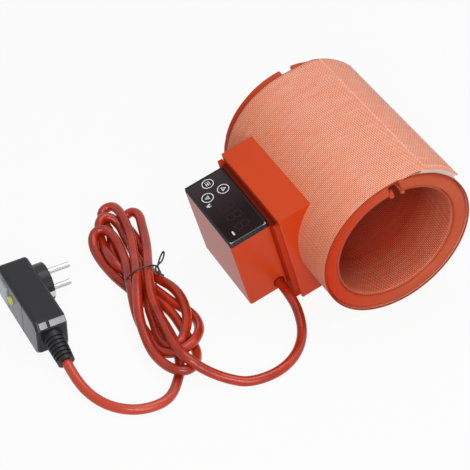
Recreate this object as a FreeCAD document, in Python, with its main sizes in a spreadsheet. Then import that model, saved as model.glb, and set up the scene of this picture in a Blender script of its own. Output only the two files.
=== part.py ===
import FreeCAD, Part
import math
import os
from types import SimpleNamespace

import Sketcher
from FreeCAD import Placement, Rotation, Vector

# A silicone heater blanket for a small gas cylinder, laid on its side on a table.
# A slit jacket closes round the cylinder with a hook-and-loop flap. A foam saddle block and a
# back plate carry a moulded box with a panel thermostat, and a long lead ends in a plug with a
# residual-current switch. The bore's centre is the origin and +Y runs along the bore. The jacket
# lies rolled over until the lower outer edge of its box touches the table, so every piece of it
# has the same turn about Y, and the lead and plug lie on the table beside it.

# Name, millimetres or degrees, and what the size is.
SIZES = [
    ("bore_radius", 51.8, "inside of the heating mat, when closed"),
    ("mat_thickness", 1.4, "woven silicone heating mat"),
    ("foam_thickness", 12.0, "silicone sponge ring"),
    ("cover_thickness", 1.0, "woven silicone outer cloth"),
    ("jacket_length", 166.0, "foam, end to end"),
    ("foam_edge", 3.0, "rounding of the foam's edges"),
    ("mat_inset", 2.5, "mat behind the foam's ends"),
    ("cover_setback", 9.0, "foam that shows past the cloth at the far end"),
    ("slit_width", 8.2, "gap that opens the jacket"),
    ("slit_offset", 8.3, "slit from the top of the jacket, away from the box"),
    ("slit_lean", 6.5, "tilt of the slit's faces"),
    ("strip_start", 28.4, "where the hook and loop strips start, from the top"),
    ("strip_span", 32.0, "angle that the strips cover"),
    ("strip_thickness", 1.8, "one strip, pile and backing"),
    ("strip_inset", 1.5, "strip behind the cloth's ends"),
    ("cover_margin", 5.0, "cloth short of the slit under the flap"),
    ("flap_bend", 20.0, "radius where the flap turns onto the strips"),
    ("element_width", 2.4, "flat heating conductor"),
    ("element_depth", 0.5, "thickness of the conductor"),
    ("element_cover", 0.1, "conductor below the mat's outer face"),
    ("element_runs", 20, "straight runs of the conductor"),
    ("element_margin", 9.0, "plain edge of the mat round the conductor"),
    ("block_reach", 74.8, "saddle block's outer face from the axis"),
    ("block_top", 47.8, "saddle block's top above the axis"),
    ("block_drop", 47.8, "saddle block's bottom below the axis"),
    ("block_near", 42.8, "saddle block's near end from mid-length"),
    ("block_length", 92.0, "saddle block along the bore"),
    ("block_edge", 1.0, "rounding of the block's outer edges"),
    ("plate_thickness", 4.1, "back plate"),
    ("plate_top", 41.0, "back plate's top above the axis"),
    ("plate_drop", 46.5, "back plate's bottom below the axis"),
    ("plate_length", 92.0, "back plate along the bore"),
    ("plate_near", 40.5, "back plate's near end from mid-length"),
    ("box_width", 35.4, "control box, outwards"),
    ("box_length", 77.0, "control box along the bore"),
    ("box_near", 31.6, "control box's near end from mid-length"),
    ("box_height", 73.7, "control box below its bezel"),
    ("box_wall", 2.0, "moulded cover of the box"),
    ("box_edge", 3.0, "rounding of the box's lower edges"),
    ("box_corner", 1.5, "rounding of the box's upright edges"),
    ("panel_rise", 38.8, "panel's face above the axis"),
    ("bezel_thickness", 2.6, "panel frame"),
    ("bezel_corner", 2.0, "corner radius of the panel frame"),
    ("bezel_slope", 1.3, "bevel round the panel frame"),
    ("window_near", 28.6, "gloss window's near end from mid-length"),
    ("window_length", 72.0, "gloss window in the panel"),
    ("window_width", 31.4, "gloss window across"),
    ("window_thickness", 1.0, "gloss window"),
    ("key_radius", 5.5, "round key"),
    ("key_clearance", 0.15, "gap round a key"),
    ("key_lip", 0.7, "collar that keeps a key in, beyond its radius"),
    ("key_collar", 1.0, "thickness of a key's collar"),
    ("key_stem", 1.5, "radius of a key's stem"),
    ("key_engagement", 1.2, "stem inside its switch"),
    ("key_travel", 0.4, "how far a key goes down"),
    ("key_pitch", 14.4, "between the up and down keys"),
    ("key_row", 24.0, "up and down keys from mid-length"),
    ("menu_row", 37.0, "menu key from mid-length"),
    ("case_length", 72.4, "thermostat body along the bore"),
    ("case_width", 30.8, "thermostat body across"),
    ("case_depth", 50.0, "thermostat body behind the bezel"),
    ("case_wall", 1.4, "thermostat body's wall"),
    ("board_thickness", 1.6, "circuit boards"),
    ("front_board_depth", 8.0, "front board's face below the bezel"),
    ("switch_height", 3.4, "small switch under a key"),
    ("switch_side", 6.0, "small switch under a key, across"),
    ("display_length", 38.0, "number display along the bore"),
    ("display_width", 17.0, "number display across"),
    ("display_height", 7.6, "number display above the front board"),
    ("display_row", -6.0, "centre of the display from mid-length"),
    ("board_slack", 1.0, "front board from the ends of the thermostat body"),
    ("board_length", 60.0, "main board along the bore"),
    ("board_setback", 2.1, "main board from the wall of the thermostat body"),
    ("part_margin", 2.0, "relay and transformer from the ends of the main board"),
    ("relay_rise", 8.0, "relay and transformer above the bottom of the thermostat body"),
    ("relay_length", 19.2, "relay along the bore"),
    ("relay_height", 15.4, "relay across the board"),
    ("relay_depth", 15.2, "relay out from the board"),
    ("transformer_length", 28.0, "mains transformer along the bore"),
    ("transformer_height", 22.0, "mains transformer across the board"),
    ("transformer_depth", 17.0, "mains transformer out from the board"),
    ("terminal_length", 44.0, "terminal block along the bore"),
    ("terminal_width", 12.0, "terminal block across"),
    ("terminal_height", 9.0, "terminal block below the thermostat"),
    ("terminal_poles", 5, "ways of the terminal block"),
    ("terminal_recess", 1.0, "screw's head below the face of the terminal block"),
    ("screw_radius", 2.6, "head of a small screw, half across"),
    ("screw_height", 1.8, "head of a small screw"),
    ("screw_shank", 1.5, "shank of a small screw"),
    ("screw_bite", 6.0, "depth of a screw in its post"),
    ("lead_radius", 1.1, "heater lead"),
    ("lead_spread", 2.5, "heater lead from the middle of its channel"),
    ("sensor_radius", 1.5, "temperature sensor"),
    ("sensor_length", 8.6, "temperature sensor"),
    ("sensor_rise", 5.7, "sensor above the heater leads"),
    ("sensor_lead_radius", 0.8, "lead of the sensor"),
    ("channel_radius", 7.0, "channel for the leads"),
    ("cord_diameter", 8.0, "mains lead"),
    ("cord_hole_gap", 0.15, "clearance of the mains lead in its holes"),
    ("cord_setback", 1.1, "mains lead in the box from the wall against the plate"),
    ("cord_drop", 28.5, "mains lead's hole below the axis"),
    ("clamp_length", 8.0, "cord clamp along the lead"),
    ("clamp_width", 16.0, "cord clamp across the lead"),
    ("clamp_height", 12.5, "cord clamp's height"),
    ("clamp_row", -18.0, "cord clamp from mid-length"),
    ("sheath_length", 19.6, "sheathed lead inside the box"),
    ("core_radius", 1.2, "one core of the mains lead"),
    ("core_gap", 0.1, "half the gap between two cores"),
    ("live_row", -4.0, "live core at the terminals, from mid-length"),
    ("neutral_row", 17.0, "neutral core at the terminals, from mid-length"),
    ("earth_row", 23.0, "earth core at the terminals, from mid-length"),
    ("hank_lift", 0.2, "lowest turn of the lead above the table"),
    ("hank_height", 17.0, "hank of lead, lying"),
    ("waist_height", 22.0, "hank where it is tied"),
    ("waist_width", 27.0, "hank where it is tied, across"),
    ("waist_length", 26.0, "tied stretch of the hank"),
    ("waist_reach", 168.6, "hank's waist from the bore's axis"),
    ("waist_row", 28.0, "hank's waist from mid-length"),
    ("waist_turn", 90.0, "turn of the hank's waist"),
    ("tie_width", 3.0, "wire tie, along the hank"),
    ("tie_slack", 0.5, "hank's loops from the tie"),
    ("tie_thickness", 1.2, "wire tie"),
    ("plug_face", 273.0, "plug's button face from the bore's axis"),
    ("plug_near", 4.0, "plug's cord end from mid-length"),
    ("plug_length", 80.0, "plug along the table"),
    ("plug_depth", 26.0, "plug, button face to pin side"),
    ("plug_height", 34.0, "plug, above the table"),
    ("plug_split", 10.4, "depth of the plug's front cover"),
    ("plug_wall", 2.0, "plug's covers"),
    ("plug_edge", 3.0, "rounding of the plug's covers"),
    ("plug_corner", 5.0, "corner radius of the plug's far end"),
    ("plug_slope", 6.0, "bevel at the plug's cord end"),
    ("boss_radius", 16.0, "round boss that carries the pins"),
    ("boss_height", 9.0, "boss beyond the plug's body"),
    ("boss_row", 56.0, "boss centre from mid-length"),
    ("pin_radius", 2.4, "round pin"),
    ("pin_length", 19.0, "round pin beyond the boss"),
    ("pin_root", 1.9, "radius of a pin's root in the boss"),
    ("pin_pitch", 19.0, "between the pins"),
    ("contact_width", 6.0, "side earth contact"),
    ("contact_thickness", 0.8, "side earth contact"),
    ("button_radius", 3.8, "round test button"),
    ("button_row", 47.6, "test button from mid-length"),
    ("button_rise", 2.0, "test button above the plug's middle"),
    ("button_gap", 0.2, "clearance round the plug's buttons"),
    ("button_proud", 1.9, "plug's buttons above its face"),
    ("button_travel", 1.5, "how far a plug button goes in"),
    ("button_lip", 0.9, "collar that keeps a plug button in"),
    ("collar_thickness", 1.2, "collar of a plug button"),
    ("reset_length", 13.0, "reset button along the plug"),
    ("reset_width", 18.0, "reset button across the plug"),
    ("reset_row", 61.0, "reset button from mid-length"),
    ("groove_row", 25.5, "groove across the plug's button face from mid-length"),
    ("groove_width", 0.9, "groove across the plug's button face"),
    ("groove_depth", 0.5, "groove across the plug's button face"),
    ("module_near", 36.0, "switch module from mid-length"),
    ("module_length", 34.0, "switch module along the plug"),
    ("module_gap", 2.0, "room before and behind the switch module"),
    ("plug_core_pitch", 3.0, "between the cores in the plug"),
    ("post_row", 22.0, "screw posts from mid-length"),
    ("post_spread", 10.5, "screw post from the plug's middle"),
    ("post_radius", 3.6, "screw post"),
    ("boot_length", 24.0, "strain relief outside the plug"),
    ("boot_root", 8.6, "strain relief's radius at the plug"),
    ("boot_mouth", 6.9, "strain relief's radius at its mouth"),
    ("boot_droop", 13.0, "how far the strain relief hangs"),
    ("boot_centre", 13.0, "strain relief behind the button face"),
    ("boot_neck", 5.6, "strain relief's radius in the plug's wall"),
    ("flange_thickness", 2.0, "flange of the strain relief inside the plug"),
    ("tail_straight", 15.0, "lead held straight beyond the strain relief"),
    ("rib_count", 6, "grooves of the strain relief"),
    ("rib_gap", 1.4, "groove between two ribs"),
    ("rib_depth", 1.2, "depth of a groove"),
]


class Size:
    """A number together with the sheet formula that it comes from."""

    def __init__(self, number, formula):
        self.number = float(number)
        self.formula = formula

    def joined(self, sign, other, number):
        return Size(number, f"({self.formula} {sign} {other.formula})")

    def __add__(self, other):
        other = sized(other)
        return self.joined("+", other, self.number + other.number)

    def __radd__(self, other):
        return sized(other) + self

    def __sub__(self, other):
        other = sized(other)
        return self.joined("-", other, self.number - other.number)

    def __rsub__(self, other):
        return sized(other) - self

    def __mul__(self, other):
        other = sized(other)
        return self.joined("*", other, self.number * other.number)

    def __rmul__(self, other):
        return sized(other) * self

    def __truediv__(self, other):
        other = sized(other)
        return self.joined("/", other, self.number / other.number)

    def __neg__(self):
        return Size(-self.number, f"(-1 * {self.formula})")


def sized(value):
    """A plain number as a Size."""
    if isinstance(value, Size):
        return value
    return Size(value, f"({float(value)})")


def square_root(value):
    return Size(math.sqrt(value.number), f"sqrt({value.formula})")


def sine(angle):
    return Size(math.sin(math.radians(angle.number)), f"sin({angle.formula})")


def cosine(angle):
    return Size(math.cos(math.radians(angle.number)), f"cos({angle.formula})")


def arcsine(value):
    return Size(math.degrees(math.asin(value.number)), f"(asin({value.formula}) / 1 deg)")


def arctangent(value):
    return Size(math.degrees(math.atan(value.number)), f"(atan({value.formula}) / 1 deg)")


doc = FreeCAD.newDocument("cylinder_heater_blanket")
sheet = doc.addObject("Spreadsheet::Sheet", "sizes")
named = {}
for row, (alias, number, meaning) in enumerate(SIZES, start=1):
    sheet.set(f"A{row}", alias)
    sheet.set(f"B{row}", str(number))
    sheet.set(f"C{row}", meaning)
    sheet.setAlias(f"B{row}", alias)
    named[alias] = Size(number, f"sizes.{alias}")
d = SimpleNamespace(**named)
doc.recompute()

# Sizes that follow from the ones above.
foam_inner = d.bore_radius + d.mat_thickness
foam_outer = foam_inner + d.foam_thickness
cover_outer = foam_outer + d.cover_thickness
jacket_half = d.jacket_length / 2
flap_inner = cover_outer + 2 * d.strip_thickness
flap_outer = flap_inner + d.cover_thickness
box_inner = d.block_reach + d.plate_thickness
box_outer = box_inner + d.box_width
box_middle = box_inner + d.box_width / 2
cord_reach = box_inner + d.box_wall + d.cord_diameter / 2 + d.cord_setback
box_centre = d.box_length / 2 - d.box_near
bezel_back = d.panel_rise - d.bezel_thickness
box_floor = bezel_back - d.box_height
window_back = d.panel_rise - d.window_thickness
case_back = bezel_back - d.case_depth
terminal_back = case_back - d.terminal_height
lead_level = case_back - d.terminal_height / 2
front_board_face = bezel_back - d.front_board_depth

# The jacket rolls until the box's lower outer edge is as low as the jacket itself.
box_diagonal = square_root(box_outer * box_outer + box_floor * box_floor)
roll = arcsine(cover_outer / box_diagonal) - arctangent(-box_floor / box_outer)
table = -cover_outer

LEVEL = Rotation()
ALONG_BORE = Rotation(Vector(1, 0, 0), -90)
OUTWARDS = Rotation(Vector(0, -1, 0), 90)
FROM_PLUG = Rotation(Vector(0, 1, 0), 90)


spots = {}


def bind(item, **sizes):
    """Ties properties of a feature to the sheet."""
    for name, size in sizes.items():
        item.setExpression(name, sized(size).formula)


def place(item, x, y, z, turn=LEVEL):
    """Puts a feature at a corner or centre given in sheet sizes."""
    spots[item.Name] = (sized(x), sized(y), sized(z), turn)
    item.Placement = Placement(Vector(sized(x).number, sized(y).number, sized(z).number), turn)
    item.setExpression(".Placement.Base.x", sized(x).formula)
    item.setExpression(".Placement.Base.y", sized(y).formula)
    item.setExpression(".Placement.Base.z", sized(z).formula)
    return item


def box(name, x, y, z, length, width, height):
    """A block from its lowest corner."""
    item = doc.addObject("Part::Box", name)
    bind(item, Length=length, Width=width, Height=height)
    return place(item, x, y, z)


def rod(name, x, y, z, radius, length, turn=LEVEL):
    """A round bar from the centre of its first end."""
    item = doc.addObject("Part::Cylinder", name)
    bind(item, Radius=radius, Height=length)
    return place(item, x, y, z, turn)


def cut(name, base, tool):
    item = doc.addObject("Part::Cut", name)
    item.Base = base
    item.Tool = tool
    return item


def fuse(name, *shapes):
    item = doc.addObject("Part::MultiFuse", name)
    item.Shapes = list(shapes)
    return item


def cut_all(name, base, *tools):
    """A base less several tools."""
    if len(tools) == 1:
        return cut(name, base, tools[0])
    return cut(name, base, fuse(f"{name}_openings", *tools))


def solid(name, shape):
    """A feature that holds a shape made with Part's own functions."""
    item = doc.addObject("Part::Feature", name)
    item.Shape = shape
    return item


def rounded(name, base, radius, chosen):
    """Rounds the edges of a feature that chosen accepts."""
    doc.recompute()
    item = doc.addObject("Part::Fillet", name)
    item.Base = base
    edges = [n for n, edge in enumerate(base.Shape.Edges, start=1) if chosen(edge)]
    item.Edges = [(n, sized(radius).number, sized(radius).number) for n in edges]
    return item


def points_along(edge, axis, tolerance=1e-3):
    """True for a straight edge that runs along an axis."""
    if not isinstance(edge.Curve, Part.Line):
        return False
    return edge.Curve.Direction.cross(axis).Length < tolerance


ALONG_X = Vector(1, 0, 0)
ALONG_Y = Vector(0, 1, 0)
ALONG_Z = Vector(0, 0, 1)

parts = {}


def rolled(item, label=None):
    """Names a finished piece of the jacket or box and rolls it with the rest."""
    turn = LEVEL
    if item.Name in spots:
        x, y, z, turn = spots[item.Name]
        place(item, x * cosine(roll) - z * sine(roll), y, x * sine(roll) + z * cosine(roll), turn)
    if turn is not ALONG_BORE:
        angle = roll + (90 if turn is OUTWARDS else 0)
        item.Placement = Placement(item.Placement.Base, Rotation(Vector(0, -1, 0), angle.number))
        turned(item, angle)
    return finished(item, label)


def turned(item, angle):
    """Ties the turn of a feature about its own axis to the sheet."""
    item.setExpression(".Placement.Rotation.Angle", f"{angle.formula} * 1 deg")
    return item


def finished(item, label=None):
    """Names a finished piece."""
    item.Label = label or item.Name
    parts[item.Label] = item
    return item


# Sketches for the moulded pieces.
def new_body(name):
    return doc.addObject("PartDesign::Body", name)


def sketch_on(body, role, name, offset=0.0):
    """A sketch on one of a body's own planes, moved along the plane's normal."""
    sketch = body.newObject("Sketcher::SketchObject", name)
    plane = next(f for f in body.Origin.OriginFeatures if f.Role == role)
    sketch.AttachmentSupport = [(plane, "")]
    sketch.MapMode = "FlatFace"
    sketch.AttachmentOffset = Placement(Vector(0, 0, sized(offset).number), Rotation())
    sketch.setExpression(".AttachmentOffset.Base.z", sized(offset).formula)
    return sketch


def hold(sketch, kind, size, *places):
    """A dimension of a sketch, tied to the sheet."""
    size = sized(size)
    row = sketch.addConstraint(Sketcher.Constraint(kind, *places, size.number))
    sketch.setExpression(f"Constraints[{row}]", size.formula)


ORIGIN_POINT = (-1, 1)
START = 1
END = 2
CENTRE = 3


def rectangle(sketch, left, bottom, width, height):
    """A rectangle with its lower left corner held from the sketch's origin."""
    left, bottom, width, height = sized(left), sized(bottom), sized(width), sized(height)
    x0, y0 = left.number, bottom.number
    x1, y1 = x0 + width.number, y0 + height.number
    corners = [Vector(x0, y0), Vector(x1, y0), Vector(x1, y1), Vector(x0, y1)]
    first = sketch.GeometryCount
    for n in range(4):
        sketch.addGeometry(Part.LineSegment(corners[n], corners[(n + 1) % 4]))
    for n in range(4):
        sketch.addConstraint(
            Sketcher.Constraint("Coincident", first + n, END, first + (n + 1) % 4, START)
        )
    for n in (0, 2):
        sketch.addConstraint(Sketcher.Constraint("Horizontal", first + n))
        sketch.addConstraint(Sketcher.Constraint("Vertical", first + n + 1))
    hold(sketch, "DistanceX", left, *ORIGIN_POINT, first, START)
    hold(sketch, "DistanceY", bottom, *ORIGIN_POINT, first, START)
    hold(sketch, "DistanceX", width, first, START, first, END)
    hold(sketch, "DistanceY", height, first + 1, START, first + 1, END)
    return sketch


def circle(sketch, x, y, radius):
    """A circle with its centre held from the sketch's origin."""
    x, y, radius = sized(x), sized(y), sized(radius)
    row = sketch.addGeometry(Part.Circle(Vector(x.number, y.number), Vector(0, 0, 1), radius.number))
    hold(sketch, "DistanceX", x, *ORIGIN_POINT, row, CENTRE)
    hold(sketch, "DistanceY", y, *ORIGIN_POINT, row, CENTRE)
    hold(sketch, "Radius", radius, row)
    return sketch


def pad(body, name, sketch, length):
    item = body.newObject("PartDesign::Pad", name)
    item.Profile = sketch
    bind(item, Length=length)
    return item


def pocket(body, name, sketch, depth, away=False):
    """A pocket. It cuts against the sketch's normal, or along it when away is set."""
    doc.recompute()
    before = body.Shape.Volume
    item = body.newObject("PartDesign::Pocket", name)
    item.Profile = sketch
    item.Reversed = away
    bind(item, Length=depth)
    doc.recompute()
    if body.Shape.Volume >= before:
        raise ValueError(f"{name} cuts nothing")
    return item


def dress(body, kind, name, size, chosen):
    """A fillet or chamfer on the edges of the body's tip that chosen accepts."""
    doc.recompute()
    tip = body.Tip
    item = body.newObject(f"PartDesign::{kind}", name)
    edges = [f"Edge{n}" for n, edge in enumerate(tip.Shape.Edges, start=1) if chosen(edge)]
    item.Base = (tip, edges)
    bind(item, **{"Radius" if kind == "Fillet" else "Size": size})
    doc.recompute()
    return item


# The jacket: mat, conductor, sponge ring, cloth cover and its flap.
def ring(name, inner, outer, start, length):
    """A tube along the bore."""
    body = rod(f"{name}_outside", 0, start, 0, outer, length, ALONG_BORE)
    hole = rod(f"{name}_inside", 0, start, 0, inner, length, ALONG_BORE)
    return cut(f"{name}_tube", body, hole)


def slit_slab(name):
    """The leaning slab that cuts the jacket open along its length."""
    reach = d.foam_thickness + 2 * d.mat_thickness
    item = doc.addObject("Part::Box", name)
    bind(item, Length=d.slit_width, Width=2 * d.jacket_length, Height=2 * reach)
    middle = foam_inner + d.foam_thickness / 2
    across = d.slit_width / 2
    x = d.slit_offset - (across * cosine(d.slit_lean) - reach * sine(d.slit_lean))
    z = middle - (across * sine(d.slit_lean) + reach * cosine(d.slit_lean))
    lean = Rotation(Vector(0, -1, 0), d.slit_lean.number)
    place(item, x, -d.jacket_length, z, lean)
    return turned(item, d.slit_lean)


def around(radius, angle, y=0.0):
    """A point of the jacket at an angle from its top, away from the box."""
    turn = math.radians(angle)
    return Vector(radius * math.sin(turn), y, radius * math.cos(turn))


def slit_edge(radius, side):
    """Angle at which a face of the slit meets a radius. side is -1 next to the box, else 1."""
    lean = math.radians(d.slit_lean.number)
    middle = foam_inner.number + d.foam_thickness.number / 2
    across = d.slit_offset.number * math.cos(lean) + middle * math.sin(lean)
    across += side * d.slit_width.number / 2
    return math.degrees(math.asin(across / radius)) - d.slit_lean.number


def sector(inner, outer, start, span, y, length):
    """Part of a tube along the bore, between two angles."""
    middle = start + span / 2
    end = start + span
    edges = [
        Part.Arc(around(outer, start, y), around(outer, middle, y), around(outer, end, y)).toShape(),
        Part.makeLine(around(outer, end, y), around(inner, end, y)),
        Part.Arc(around(inner, end, y), around(inner, middle, y), around(inner, start, y)).toShape(),
        Part.makeLine(around(inner, start, y), around(outer, start, y)),
    ]
    return Part.Face(Part.Wire(edges)).extrude(Vector(0, length, 0))


def conductor_shape(outer):
    """The flat conductor: straight runs along the bore, joined by turns at their ends."""
    runs = int(d.element_runs.number)
    width = d.element_width.number
    inner = foam_inner.number - d.element_cover.number - d.element_depth.number
    half = jacket_half.number - d.mat_inset.number - d.element_margin.number
    edge = math.degrees(d.element_margin.number / inner)
    first = slit_edge(inner, 1) + edge
    last = slit_edge(inner, -1) + 360 - edge
    step = (last - first) / (runs - 1)
    stripe = math.degrees(width / inner)
    pieces = []
    for n in range(runs):
        angle = first + n * step
        pieces.append(sector(inner, outer, angle - stripe / 2, stripe, -half, 2 * half))
        if n < runs - 1:
            end = -half if n % 2 else half - width
            pieces.append(sector(inner, outer, angle, step, end, width))
    return pieces[0].multiFuse(pieces[1:]).removeSplitter()


def cover_shape():
    """The cloth: round the foam from one edge of the slit to the other, then on as the flap."""
    near = -jacket_half.number
    length = d.jacket_length.number - d.cover_setback.number
    inner, outer = foam_outer.number, cover_outer.number
    start = slit_edge(inner, 1) + math.degrees(d.cover_margin.number / inner)
    lift = slit_edge(inner, -1) + 360
    bend = d.flap_bend.number
    strip_end = d.strip_start.number + d.strip_span.number + 360

    def path(low, high):
        """One face of the cloth, from the slit round to the flap's end."""
        radius = bend + high - flap_inner.number
        sideways = math.sqrt((high - radius) ** 2 - (low - radius) ** 2)
        turn = math.degrees(math.atan2(sideways, low - radius))
        leave = around(low, lift, near)
        forward = around(1.0, lift + 90)
        meet = leave + forward * sideways
        centre = around(low - radius, lift, near) + forward * sideways
        middle = centre + around(radius, lift + turn / 2)
        land = around(high, lift + turn, near)
        half_way = (start + lift) / 2
        last = (lift + turn + strip_end) / 2
        wrap = Part.Arc(around(low, start, near), around(low, half_way, near), leave)
        rise = Part.LineSegment(leave, meet)
        settle = Part.Arc(meet, middle, land)
        flap = Part.Arc(land, around(high, last, near), around(high, strip_end, near))
        return [curve.toShape() for curve in (wrap, rise, settle, flap)]

    under = path(inner, flap_inner.number)
    over = path(outer, flap_outer.number)
    ends = [
        Part.makeLine(around(inner, start, near), around(outer, start, near)),
        Part.makeLine(
            around(flap_inner.number, strip_end, near), around(flap_outer.number, strip_end, near)
        ),
    ]
    outline = Part.Wire(Part.__sortEdges__(under + over + ends))
    return Part.Face(outline).extrude(Vector(0, length, 0))


def strip_shape(inner):
    """One strip of hook or loop tape, laid round the jacket under the flap."""
    near = -jacket_half.number + d.strip_inset.number
    length = d.jacket_length.number - d.cover_setback.number - 2 * d.strip_inset.number
    return sector(
        inner.number,
        inner.number + d.strip_thickness.number,
        d.strip_start.number,
        d.strip_span.number,
        near,
        length,
    )


def lead_channel(name, start, length):
    """A length of the channel that the leads pass through, outwards from the jacket."""
    level = lead_level + d.sensor_rise / 3
    return rod(name, -start, box_centre, level, d.channel_radius, length, OUTWARDS)


def jacket():
    """Everything that wraps round the cylinder."""
    surface = foam_inner.number - d.element_cover.number
    rolled(solid("heating_element", conductor_shape(surface)))
    bed = solid("element_bed", conductor_shape(surface + 2 * d.element_cover.number))
    mat_length = d.jacket_length - 2 * d.mat_inset
    mat = ring("mat", d.bore_radius, foam_inner, -mat_length / 2, mat_length)
    rolled(cut_all("heating_mat", mat, slit_slab("mat_slit"), bed))
    foam = new_body("foam_ring")
    profile = sketch_on(foam, "XY_Plane", "foam_section")
    rectangle(profile, foam_inner, -jacket_half, d.foam_thickness, d.jacket_length)
    spun = foam.newObject("PartDesign::Revolution", "foam_turn")
    spun.Profile = profile
    spun.ReferenceAxis = (profile, ["V_Axis"])
    spun.Angle = 360
    dress(foam, "Fillet", "foam_rounding", d.foam_edge, lambda edge: isinstance(edge.Curve, Part.Circle))
    channel = lead_channel("foam_channel", foam_inner - d.foam_thickness, 3 * d.foam_thickness)
    rolled(cut_all("insulation_foam", foam, slit_slab("foam_slit"), channel))
    cover = solid("cover_cloth", cover_shape())
    through = lead_channel("cover_channel", foam_inner, 2 * d.foam_thickness)
    rolled(cut("outer_cover", cover, through))
    rolled(solid("loop_strip", strip_shape(cover_outer)))
    rolled(solid("hook_strip", strip_shape(cover_outer + d.strip_thickness)))


def sensor_and_leads():
    """The sensor against the mat, and the wires from the jacket to the thermostat."""
    level = lead_level + d.sensor_rise
    radius = foam_inner + d.sensor_radius
    x = -square_root(radius * radius - level * level)
    rolled(
        rod(
            "temperature_sensor", x, box_centre - d.sensor_length / 2, level,
            d.sensor_radius, d.sensor_length, ALONG_BORE,
        )
    )
    upper_side = lead_level + d.lead_radius
    start = square_root(foam_inner * foam_inner - upper_side * upper_side)
    end = box_middle - d.terminal_width / 2
    wires = [
        rod(
            f"heater_lead_{side}", -start, box_centre + way * d.lead_spread, lead_level,
            d.lead_radius, end - start, OUTWARDS,
        )
        for side, way in (("near", -1), ("far", 1))
    ]
    rolled(fuse("heater_leads", *wires))
    sensor_end = box_middle - d.case_width / 2
    sensor_start = -x + d.sensor_radius
    rolled(
        rod(
            "sensor_lead", -sensor_start, box_centre, level,
            d.sensor_lead_radius, sensor_end - sensor_start, OUTWARDS,
        )
    )


# The saddle, the back plate and the moulded box.
def saddle_and_plate():
    depth = d.block_top + d.block_drop
    block = box(
        "block_blank", -d.block_reach, -d.block_near, -d.block_drop,
        d.block_reach - d.bore_radius / 2, d.block_length, depth,
    )
    outer_face = -d.block_reach.number
    soft = rounded(
        "block_rounding", block, d.block_edge,
        lambda edge: abs(edge.BoundBox.XMax - outer_face) < 1e-3,
    )
    seat = rod("block_seat", 0, -d.jacket_length, 0, cover_outer, 2 * d.jacket_length, ALONG_BORE)
    channel = lead_channel("block_channel", foam_outer - d.foam_thickness, 3 * d.foam_thickness)
    rolled(cut_all("saddle_block", soft, seat, channel))
    plate = box(
        "plate_blank", -box_inner, -d.plate_near, -d.plate_drop,
        d.plate_thickness, d.plate_length, d.plate_top + d.plate_drop,
    )
    eased = rounded("plate_rounding", plate, d.block_edge, lambda edge: points_along(edge, ALONG_X))
    channel = lead_channel("plate_channel", d.block_reach - d.plate_thickness, 3 * d.plate_thickness)
    rolled(cut("back_plate", eased, channel))


def control_box():
    """The moulded cover of the box: open at the top, with round lower edges."""
    body = new_body("box_moulding")
    outline = sketch_on(body, "XY_Plane", "box_outline", box_floor)
    rectangle(outline, -box_outer, -d.box_near, d.box_width, d.box_length)
    pad(body, "box_block", outline, d.box_height)
    dress(body, "Fillet", "box_corners", d.box_corner, lambda edge: points_along(edge, ALONG_Z))
    low = box_floor.number
    dress(
        body, "Fillet", "box_lower_edges", d.box_edge,
        lambda edge: edge.BoundBox.ZMax < low + 1e-3,
    )
    inside = sketch_on(body, "XY_Plane", "box_inside", bezel_back)
    rectangle(
        inside, d.box_wall - box_outer, d.box_wall - d.box_near,
        d.box_width - 2 * d.box_wall, d.box_length - 2 * d.box_wall,
    )
    pocket(body, "box_cavity", inside, d.box_height - d.box_wall)
    entry = rod(
        "box_cord_hole", -cord_reach, -d.box_near - d.box_wall, -d.cord_drop,
        d.cord_diameter / 2 + d.cord_hole_gap, 3 * d.box_wall, ALONG_BORE,
    )
    channel = lead_channel("box_channel", box_inner - d.box_wall, 3 * d.box_wall)
    rolled(cut_all("control_box_shell", body, entry, channel))


def key_places():
    """Where each round key sits: name, outwards from the axis, along the bore."""
    return [
        ("menu", box_middle, d.menu_row),
        ("up", box_middle - d.key_pitch / 2, d.key_row),
        ("down", box_middle + d.key_pitch / 2, d.key_row),
    ]


def panel():
    """The panel frame with its gloss window, both pierced for the keys."""
    body = new_body("bezel_moulding")
    outline = sketch_on(body, "XY_Plane", "bezel_outline", bezel_back)
    rectangle(outline, -box_outer, -d.box_near, d.box_width, d.box_length)
    pad(body, "bezel_block", outline, d.bezel_thickness)
    dress(body, "Fillet", "bezel_corners", d.bezel_corner, lambda edge: points_along(edge, ALONG_Z))
    top = d.panel_rise.number
    dress(
        body, "Chamfer", "bezel_bevel", d.bezel_slope,
        lambda edge: edge.BoundBox.ZMin > top - 1e-3,
    )
    recess = sketch_on(body, "XY_Plane", "window_recess", d.panel_rise)
    window_left = -box_middle - d.window_width / 2
    rectangle(recess, window_left, -d.window_near, d.window_width, d.window_length)
    pocket(body, "window_seat", recess, d.window_thickness)
    opening = sketch_on(body, "XY_Plane", "display_opening", d.panel_rise)
    rectangle(
        opening, -box_middle - d.display_width / 2, d.display_row - d.display_length / 2,
        d.display_width, d.display_length,
    )
    pocket(body, "display_cut", opening, 2 * d.bezel_thickness)
    keys = sketch_on(body, "XY_Plane", "bezel_key_holes", d.panel_rise)
    for name, reach, y in key_places():
        circle(keys, -reach, y, d.key_radius + d.key_clearance)
    pocket(body, "bezel_key_cut", keys, 2 * d.bezel_thickness)
    rolled(body, "controller_bezel")

    window = new_body("window_sheet")
    outline = sketch_on(window, "XY_Plane", "window_outline", window_back)
    rectangle(outline, window_left, -d.window_near, d.window_width, d.window_length)
    pad(window, "window_block", outline, d.window_thickness)
    holes = sketch_on(window, "XY_Plane", "window_key_holes", d.panel_rise)
    for name, reach, y in key_places():
        circle(holes, -reach, y, d.key_radius + d.key_clearance)
    pocket(window, "window_key_cut", holes, 2 * d.window_thickness)
    rolled(window, "display_window")


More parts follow.
